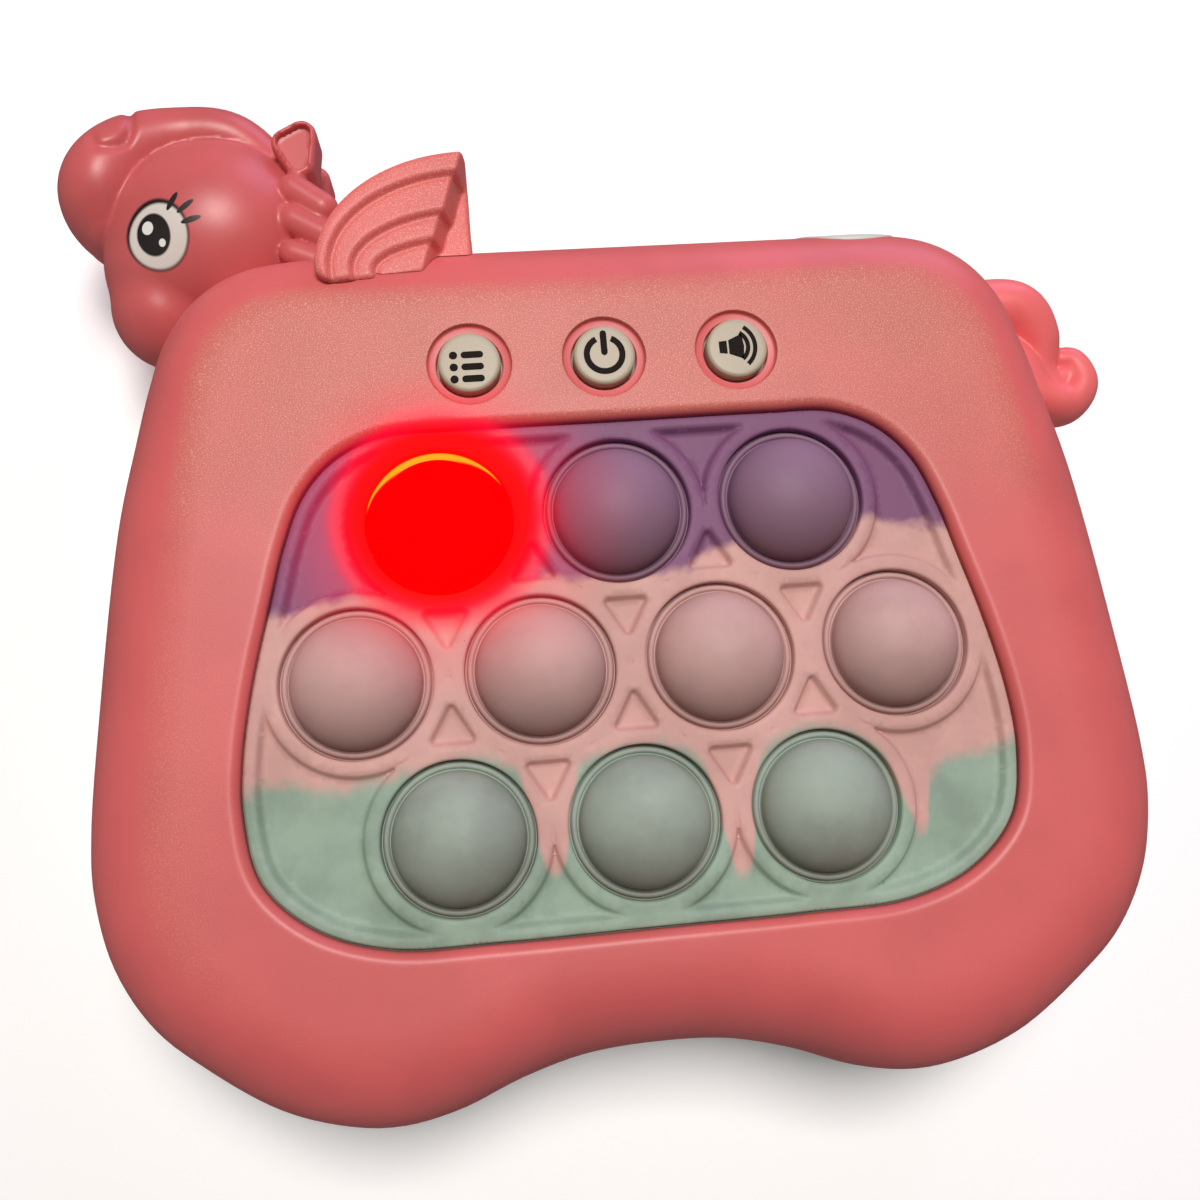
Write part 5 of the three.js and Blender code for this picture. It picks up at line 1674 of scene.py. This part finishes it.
def head_plastic():
    """The coral plastic, darker than the shell's as painted shade, with a plain printed eye on each side.
    """
    look = Finish("head_plastic", IOR=1.48, Subsurface_Weight=0.12, Subsurface_Scale=0.002,
                  Subsurface_Radius=(1.0, 0.35, 0.3))
    base = colour_of("shell")
    cloud = look.noise(0.07, 3)
    # Painted shade: the head's colour is a darker copy of the shell's.
    colour = look.mix(look.step(cloud, 0.35, 0.65), shaded(base, 0.85), shaded(base, 0.95))
    ink = colour_of("ink")
    marks = [
        (0, 0, 4.7, 5.0, 20, ink),
        (0.1, -0.25, 4.3, 4.45, 20, EYE_WHITE),
        (-0.5, -0.1, 2.5, 3.0, 12, ink),
        (-1.3, 0.9, 0.85, 0.95, 0, EYE_GLINT),
        (0.7, -1.4, 0.5, 0.55, 0, EYE_GLINT),
    ]
    for turn, reach in LASHES:
        way = math.radians(turn)
        marks.append((reach * math.cos(way), reach * math.sin(way), 1.5, 0.42, turn, ink))
    for x, y, half_x, half_y, turn, shade in marks:
        mark = look.oval(EYE[0] + x, EYE[1] + y, half_x, half_y, turn)
        colour = look.mix(mark, colour, shade)
    grain = look.noise(2.6, 2, 0.6)
    return look.set(Base_Color=colour, Roughness=look.spread(grain, 0.34, 0.44),
                    Normal=look.bump(grain, 0.02, 0.2)).material


FEATHERS = [(1.0, 1.0), (0.905, 0.8), (0.765, 0.48), (0.63, 0.26)]
FEATHER_DROP = 0.75
FEATHER_GROOVE = 0.45
WING_FOOT = 0.9
WING_CORNER = 3.0
WING_SLOPE = 0.3
WING_RECESS = 5.5
WING_HEIGHT = 16.5
WING_BASE_SHARE = 0.885


def wing_sizes(side):
    """A wing's right end, base, length, face and far side."""
    low, high = box_of("wing_front" if side > 0 else "wing_back")
    face = high[2] if side > 0 else low[2]
    far = low[2] if side > 0 else high[2]
    return high[0], WING_BASE_SHARE * BODY_HIGH[1], high[0] - low[0], face, far


def feather_line(side, shares, end, extra=0.0):
    """The outline of a feather: a quarter of an oval about the wing's lower right corner."""
    right, base, length, _, _ = wing_sizes(side)
    half_x, half_y = length * shares[0] + extra, WING_HEIGHT * shares[1] + extra
    turns = np.radians(np.linspace(90, 180, 33))
    x = np.minimum(right + half_x * np.cos(turns), right - end)
    line = np.column_stack([x, base + half_y * np.sin(turns)])
    edge = right - end + extra
    return np.vstack([[(edge, base - extra), (edge, base + half_y)], line])


def wing_room(side):
    """The space that a wing takes up beside the head."""
    _, _, _, face, far = wing_sizes(side)
    line = feather_line(side, FEATHERS[0], 0, GAP)
    foot = np.vstack([line, [(line[-1][0], line[0][1])]])
    return prism(foot, min(face, far) - GAP, max(face, far) + GAP)


def oval_field(across, up, half_x, half_y):
    """The flat field of an oval about a corner."""
    reach = np.hypot(across / half_x, up / half_y)
    slope = np.hypot(across / half_x ** 2, up / half_y ** 2)
    return reach * (reach - 1) / np.maximum(slope, 1e-9)


def ramp(value, low, high):
    """Runs smoothly from 0 at low to 1 at high."""
    share = np.clip((value - low) / (high - low), 0, 1)
    return share * share * (3 - 2 * share)


def wing_field(side):
    """Feathers with grooves between them, which step down to a slanting right side."""
    right, base, length, face, far = wing_sizes(side)

    def field(points):
        across, up = points[:, 0] - right, points[:, 1] - base
        height = side * (face - points[:, 2])
        outer, *inner = [oval_field(across, up, length * a, WING_HEIGHT * b) for a, b in FEATHERS]
        foot = 0.12 * (across + length / 2) - WING_FOOT - up
        blade = np.maximum(carve(outer, -foot, WING_CORNER), across)
        sunk = np.zeros(len(points))
        end = across + 0.3 + WING_SLOPE * (WING_HEIGHT - up)
        for oval in inner:
            below = ramp(-oval, -0.3, 0.5)
            sunk += FEATHER_DROP * below + FEATHER_GROOVE * np.exp(-(oval / 0.4) ** 2)
            end += 0.5 * below
        sunk += (WING_RECESS - sunk) * ramp(end, -0.3, 1.1)
        return np.maximum(carve(blade, height - sunk, 0.9), height - abs(face - far))

    return field


class BUBBLEGAME_OT_wings(PieceOperator, bpy.types.Operator):
    """A front and a back wing, whose feathers step down towards the console"""

    bl_idname = "bubble_game.wings"
    bl_label = "Wings"

    def build(self, sizes):
        for side, node in ((1, "wing_front"), (-1, "wing_back")):
            low, high = box_of(node)
            wing = carved(f"{node}_skin", wing_field(side), low - 3, high + 1, 0.3)
            combine(wing, [envelope(-BODY_CLEARANCE)], "DIFFERENCE")
            combine(wing, [wing_tab(side, 0)], "UNION")
            # The wing's colour is made lighter than the shell's, as painted light.
            look = finish(pink_plastic, 30.0, 35.0, 1.0, 0.1, 1.12, "wing_plastic")
            finished(wing, look, replaces=[node], sharp=45)


TAIL_REACH = 11.0
TAIL_LOCK = 5.6
TAIL_UPPER = [(-0.55, 0.7, 0.92), (0.13, 0.65, 0.95), (0.43, 0.27, 0.78), (0.48, -0.2, 0.52),
              (0.64, -0.44, 0.44), (0.85, -0.36, 0.42)]
TAIL_LOWER = [(-0.6, 0.2, 0.85), (-0.02, -0.13, 0.8), (0.34, -0.62, 0.66), (0.78, -0.74, 0.58),
              (1.03, -0.48, 0.57), (0.97, -0.16, 0.49), (0.78, -0.08, 0.37)]


def tail_field(points):
    """Two locks that curl together at their tip."""
    fields = []
    for shares in (TAIL_UPPER, TAIL_LOWER):
        places = [(TAIL_ROOT[0] + x * TAIL_REACH, TAIL_ROOT[1] + y * TAIL_REACH, radius * TAIL_LOCK)
                  for x, y, radius in shares]
        fields.append(lock_field(points, places, 1.4))
    return blend(fields[0], fields[1], 0.5)


class BUBBLEGAME_OT_tail(PieceOperator, bpy.types.Operator):
    """The tail, two locks of hair that curl together"""

    bl_idname = "bubble_game.tail"
    bl_label = "Tail"

    def build(self, sizes):
        low, high = box_of("tail")
        tail = carved("tail_skin", tail_field, low - [TAIL_LOCK * 1.5, 2, 2], high + 2, 0.35)
        combine(tail, [envelope(-BODY_CLEARANCE)], "DIFFERENCE")
        combine(tail, [tail_tab(0)], "UNION")
        # The tail's colour is made lighter than the shell's, as painted light.
        finished(tail, finish(pink_plastic, 60, 70, 0, 0, 1.25, "tail_plastic"),
                 replaces=["tail"], sharp=50)


# Lid, screws and batteries

SCREW_STEEL = (brushed_metal, "screw_steel", (0.62, 0.62, 0.64), 0.3)
THREAD_PITCH = 0.8
THREAD_DEPTH = 0.2
CROSS_HALF = 0.35
CROSS_DEPTH = 0.8
CROSS_SHARE = 0.62


def screw_piece(name, head_radius, head_height, shank_radius, length):
    """A screw that points up from a pan head with a cross recess, made round the origin."""
    profile = [(0, 0), (head_radius - 0.5, 0), *arc(head_radius - 0.45, 0.45, 0.45, -80, 0, 5),
               (head_radius, head_height), (shank_radius, head_height)]
    height = head_height + THREAD_PITCH / 2
    while height < length - shank_radius:
        profile += [(shank_radius - THREAD_DEPTH, height), (shank_radius, height + THREAD_PITCH / 2)]
        height += THREAD_PITCH
    profile += [(0.15, length), (0, length)]
    screw = turned(name, profile, 40)
    reach = head_radius * CROSS_SHARE
    bars = [block(-x, x, -y, y, -OVERRUN, CROSS_DEPTH)
            for x, y in ((reach, CROSS_HALF), (CROSS_HALF, reach))]
    cross = combine(bars[0], bars[1:], "UNION")
    return combine(screw, [cross], "DIFFERENCE")


class BUBBLEGAME_OT_lid(PieceOperator, bpy.types.Operator):
    """Battery lid with its grip, its tabs and its screw"""

    bl_idname = "bubble_game.lid"
    bl_label = "Battery Lid"

    def build(self, sizes):
        high_y = DOOR_HIGH[1] - FLANGE_REACH - GAP
        line = rectangle(DOOR_LOW[0], DOOR_HIGH[0], DOOR_LOW[1], high_y, sizes.door_corner / MM - GAP)
        screw_y = centre_of("door_screw")[1]
        shape = Shape()
        rings = [at_height(widened(line, -0.35), 0), at_height(widened(line, -0.12), 0.08),
                 at_height(line, 0.35), at_height(line, WALL)]
        foot, top = shape.tube(rings)
        shape.fill(top)
        shape.fill(foot, flipped=True)
        lid = from_shape("battery_lid", shape)
        ledge = WALL + GAP
        tabs = [block(x - LID_TAB_HALF, x + LID_TAB_HALF, high_y - 1.7, far, level,
                      ledge + LID_TAB_THICKNESS)
                for x in LID_TAB_PLACES for far, level in ((high_y, WALL / 2), (DOOR_HIGH[1], ledge))]
        combine(lid, tabs, "UNION")
        ribs = blank("ribs")
        grown(ribs, tree_named("ribs", rib_tree), Count=7, Pitch=1.6 * MM, Length=18 * MM,
              Width=0.7 * MM, Depth=1.0 * MM)
        from_origin(ribs, 0, high_y - 16.0)
        sink = turned("sink", [(0, -1), (3.4, -1), (3.4, 0), (3.1, 0.12), (2.9, 0.4), (2.9, 1.5),
                               (1.5, 1.5), (1.5, WALL + 1), (0, WALL + 1)], 48, 0, screw_y)
        combine(lid, [ribs, sink], "DIFFERENCE")
        finished(lid, finish(pale_plastic), "battery_door", ["battery_door"], 34)
        low, high = box_of("door_screw")
        screw = shifted(screw_piece("lid_screw", 2.6, 0.9, 1.2, high[2] - low[2]), 0, screw_y, low[2])
        finished(screw, finish(*SCREW_STEEL), "battery_door", ["door_screw"])


class BUBBLEGAME_OT_screws(PieceOperator, bpy.types.Operator):
    """The four screws of the housing"""

    bl_idname = "bubble_game.screws"
    bl_label = "Housing Screws"

    def build(self, sizes):
        low, high = box_of(SCREW_NODES[0])
        screw = at_origin(screw_piece("one_screw", 2.8, 1.5, 1.3, high[2] - low[2]))
        material = finish(*SCREW_STEEL)
        spots = [(*centre_of(node)[:2], low[2]) for node in SCREW_NODES]
        places = mesh_object("housing_screws", spots, [])
        grown(places, tree_named("copies", copies_tree), Piece=screw, Material=material)
        discard(screw)
        finished(places, material, replaces=SCREW_NODES)


class BUBBLEGAME_OT_batteries(PieceOperator, bpy.types.Operator):
    """Three batteries in plain sleeves"""

    bl_idname = "bubble_game.batteries"
    bl_label = "Batteries"

    def build(self, sizes):
        sleeve = finish(battery_sleeve)
        for number, node in enumerate(CELL_NODES):
            low, high = box_of(node)
            x, y, z = (low + high) / 2
            radius = (high[2] - low[2]) / 2
            end = (high[0] - low[0]) / 2
            start, neck = -end, end - 1.0
            facing = 1 if number % 2 == 0 else -1
            profile = [
                (0, start + 0.25), (4.4, start + 0.25), (4.8, start + 0.02), (radius - 0.75, start),
                *arc(radius - 0.6, start + 0.6, 0.6, -80, 0, 5),
                *arc(radius - 0.5, neck - 0.5, 0.5, 0, 80, 5),
                (radius - 0.9, neck), (radius - 1.1, neck - 0.2), (3.3, neck - 0.2), (2.85, neck - 0.05),
                (2.7, end - 0.2), (2.45, end), (0, end),
            ]
            cell = turned(f"{node}_cell", profile, 64, x, y, z, facing * math.pi / 2)
            finished(cell, sleeve, replaces=[node])


def battery_sleeve():
    """A dark printed sleeve with plain bands, bare metal at both ends."""
    look = Finish("battery_sleeve", Roughness=0.32, IOR=1.5)
    reach = look.math("ABSOLUTE", look.x)
    metal = look.step(reach, 24.15, 24.35)
    band = look.math("MULTIPLY", look.step(reach, 17.9, 18.1), look.step(reach, 21.1, 20.9))
    cloud = look.spread(look.noise(0.4, 3), 0.85, 1.1)
    colour = look.mix(band, (0.035, 0.06, 0.085), (0.42, 0.44, 0.46))
    colour = look.mix(metal, colour, (0.6, 0.6, 0.62))
    return look.set(Base_Color=colour, Metallic=metal, Roughness=look.math("MULTIPLY", cloud, 0.32),
                    Normal=look.bump(look.noise(0.6, 2), 0.02, 0.3)).material


# The finish of the inner pieces, by how their names start
CONTACT_STEEL = (brushed_metal, "contact_steel", (0.7, 0.7, 0.68), 0.28)
INSIDE_LOOKS = {
    "light_cap": (clear_plastic,),
    "switch": (plain_plastic, "switch_plastic", (0.02, 0.02, 0.022), 0.5),
    "cap_frame": (plain_plastic, "frame_plastic", (0.62, 0.62, 0.58), 0.5),
    "main_board": (board_lacquer,),
    "speaker": (plain_plastic, "speaker_paper", (0.03, 0.03, 0.032), 0.7),
    "positive_contact": CONTACT_STEEL,
    "negative_contact": CONTACT_STEEL,
    "bridge_contact": CONTACT_STEEL,
    "battery_wire_positive": (plain_plastic, "red_wire", (0.45, 0.02, 0.02), 0.45),
    "battery_wire_negative": (plain_plastic, "black_wire", (0.015, 0.015, 0.016), 0.45),
}


class BUBBLEGAME_OT_insides(PieceOperator, bpy.types.Operator):
    """Finishes of the pieces inside that keep their own shape"""

    bl_idname = "bubble_game.insides"
    bl_label = "Inner Pieces"

    def build(self, sizes):
        for name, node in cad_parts.items():
            for start, look in INSIDE_LOOKS.items():
                if name.startswith(start):
                    material = finish(*look)
                    for slot in node.material_slots:
                        slot.material = material


FLOOR_HALF = 1.5
# Each lamp's name, its place and size in metres, its power and its colour
LAMPS = [
    ("key", (0.03, 0.26, 0.95), 0.35, 8.8, (1.0, 0.95, 0.92)),
    ("sky", (0.45, 0.9, 0.25), 0.6, 3.0, (0.65, 0.55, 1.0)),
    ("fill", (-0.8, -0.1, 0.6), 0.8, 0.5, (1.0, 0.95, 0.92)),
]
# The camera's turns about X, Y and Z in degrees, and its place over the silicone's lands
CAMERA_TURN = (9.65, -4.94, -4.19)
CAMERA_PLACE = (-16.05, -15.88, 143.94)


class BUBBLEGAME_OT_stage(PieceOperator, bpy.types.Operator):
    """Pale floor, soft studio light and the camera"""

    bl_idname = "bubble_game.stage"
    bl_label = "Stage"

    def build(self, sizes):
        scene = bpy.context.scene
        mesh = bpy.data.meshes.new("floor")
        corners = [(x * FLOOR_HALF, y * FLOOR_HALF, 0) for x, y in ((-1, -1), (1, -1), (1, 1), (-1, 1))]
        mesh.from_pydata(corners, [], [(0, 1, 2, 3)])
        floor = bpy.data.objects.new("floor", mesh)
        scene.collection.objects.link(floor)
        mesh.materials.append(self.floor_finish())
        floor.visible_glossy = False
        world = bpy.data.worlds.new("studio")
        scene.world = world
        world.use_nodes = True
        background = world.node_tree.nodes["Background"]
        background.inputs["Color"].default_value = (1.0, 0.97, 0.96, 1)
        background.inputs["Strength"].default_value = 0.07
        scene.view_settings.view_transform = "Standard"
        for lamp in LAMPS:
            self.lamp(*lamp)
        camera = bpy.data.objects.new("camera", bpy.data.cameras.new("camera"))
        scene.collection.objects.link(camera)
        camera.data.sensor_width = 36
        camera.data.lens = sizes.lens
        camera.data.clip_start = 0.01
        turn = Matrix.Identity(3)
        for axis, degrees in zip("XYZ", CAMERA_TURN):
            turn = turn @ Matrix.Rotation(math.radians(degrees), 3, axis)
        camera.matrix_world = turn.to_4x4()
        across, along, above = CAMERA_PLACE
        camera.location = Vector(MIDDLE) + Vector((across, along, LAND + above)) * MM
        scene.camera = camera

    def lamp(self, name, place, size, power, colour):
        """A square lamp that faces the console."""
        data = bpy.data.lights.new(name, "AREA")
        data.size = size
        data.energy = power
        data.color = colour
        made = bpy.data.objects.new(name, data)
        bpy.context.scene.collection.objects.link(made)
        made.location = place
        aim = Vector((0, 0, FACE * MM)) - Vector(place)
        made.rotation_euler = aim.to_track_quat("-Z", "Y").to_euler()

    def floor_finish(self):
        """Matt pale card."""
        look = Finish("floor_card", Roughness=0.85, Emission_Color=(1, 1, 1, 1), Emission_Strength=0.1)
        cloud = look.spread(look.noise(0.01, 3), 0.97, 1.0)
        shade = look.add("ShaderNodeCombineColor", {"Red": cloud, "Green": cloud, "Blue": cloud})
        return look.set(Base_Color=shade).material


# Settings, panel and registration

def size(name, description, value, low, high):
    """A length that a user can change, given in millimetres."""
    return FloatProperty(name=name, description=description, default=value * MM, min=low * MM,
                         max=high * MM, unit="LENGTH", precision=5)


def colour(name, description, value):
    """A colour that a user can change."""
    return FloatVectorProperty(name=name, description=description, default=value, size=3, min=0.0,
                               max=1.0, subtype="COLOR")


class BubbleGameSizes(bpy.types.PropertyGroup):
    """Sizes of the game's own surfaces"""

    lip: size("Window lip", "Radius of the round edge of the window", 1.4, 0.5, 2.0)
    recess: size("Button recess", "Radius of the recess round each button", 5.75, 5.3, 6.0)
    button_radius: size("Button", "Radius of a button's cap", 4.25, 3.5, 4.3)
    dome_radius: size("Dome", "Radius of a bubble's dome", 8.6, 7.0, 8.7)
    grille_pitch: size("Grille pitch", "Distance between the grille's holes", 4.6, 3.5, 5.0)
    grille_hole: size("Grille hole", "Radius of one hole of the grille", 1.4, 0.8, 1.6)
    door_corner: size("Lid corner", "Radius of the battery lid's corners", 2.4, 1.0, 4.0)
    lens: FloatProperty(name="Lens", description="Focal length of the camera", default=33.0, min=10.0,
                        max=200.0, unit="CAMERA")


class BubbleGameColours(bpy.types.PropertyGroup):
    """Colours of the game's finishes"""

    shell: colour("Shell", "Coral plastic of the front shell", (0.66, 0.125, 0.125))
    pearl: colour("Pearl", "Sheen of the grained face", (0.46, 0.2, 0.125))
    fleck: colour("Fleck", "Flecks in the grained face", (0.95, 0.5, 0.28))
    back: colour("Back", "Off-white plastic of the back shell", (0.62, 0.66, 0.6))
    violet: colour("Violet", "Top colour of the silicone", (0.215, 0.088, 0.18))
    peach: colour("Peach", "Middle colour of the silicone", (0.66, 0.38, 0.34))
    mint: colour("Mint", "Bottom colour of the silicone", (0.295, 0.395, 0.31))
    haze: colour("Haze", "Pale crown of the thin bubbles", (0.44, 0.38, 0.42))
    # Colour of the painted shade on each dome's lower side
    painted_dome_shade: colour("Dull", "What shows through the thin bubbles", (0.13, 0.065, 0.05))
    lit: colour("Light", "Light of the lamp that is on", (1.0, 0.0004, 0.001))
    glow: colour("Glow", "Its light further out", (1.0, 0.01, 0.1))
    crescent: colour("Crescent", "Bright edge of the lit bubble", (1.0, 0.36, 0.012))
    button: colour("Button", "Cream plastic of the buttons", (0.46, 0.4, 0.29))
    ink: colour("Ink", "Dark print", (0.012, 0.008, 0.006))


OPERATORS = [
    BUBBLEGAME_OT_stage, BUBBLEGAME_OT_front_shell, BUBBLEGAME_OT_back_shell, BUBBLEGAME_OT_pad,
    BUBBLEGAME_OT_bubbles, BUBBLEGAME_OT_buttons, BUBBLEGAME_OT_head, BUBBLEGAME_OT_wings,
    BUBBLEGAME_OT_tail, BUBBLEGAME_OT_lid, BUBBLEGAME_OT_screws, BUBBLEGAME_OT_batteries,
    BUBBLEGAME_OT_insides,
]


class BUBBLEGAME_PT_panel(bpy.types.Panel):
    """The settings and the operators"""

    bl_idname = "BUBBLEGAME_PT_panel"
    bl_label = "Bubble Pop Game"
    bl_space_type = "VIEW_3D"
    bl_region_type = "UI"
    bl_category = "Bubble Game"

    def draw(self, context):
        """Lists the settings and the operators."""
        for group in (context.scene.bubble_game_sizes, context.scene.bubble_game_colours):
            column = self.layout.column()
            for words in group.__annotations__:
                column.prop(group, words)
        for operator in OPERATORS:
            self.layout.operator(operator.bl_idname)


CLASSES = [BubbleGameSizes, BubbleGameColours, *OPERATORS, BUBBLEGAME_PT_panel]


def register():
    """Registers the classes and the settings."""
    for kind in CLASSES:
        bpy.utils.register_class(kind)
    bpy.types.Scene.bubble_game_sizes = PointerProperty(type=BubbleGameSizes)
    bpy.types.Scene.bubble_game_colours = PointerProperty(type=BubbleGameColours)


def unregister():
    """Removes the settings and the classes."""
    del bpy.types.Scene.bubble_game_sizes
    del bpy.types.Scene.bubble_game_colours
    for kind in reversed(CLASSES):
        bpy.utils.unregister_class(kind)


def main():
    """Builds every piece in order."""
    register()
    for operator in OPERATORS:
        group, name = operator.bl_idname.split(".")
        getattr(getattr(bpy.ops, group), name)()


if __name__ == "__main__":
    main()
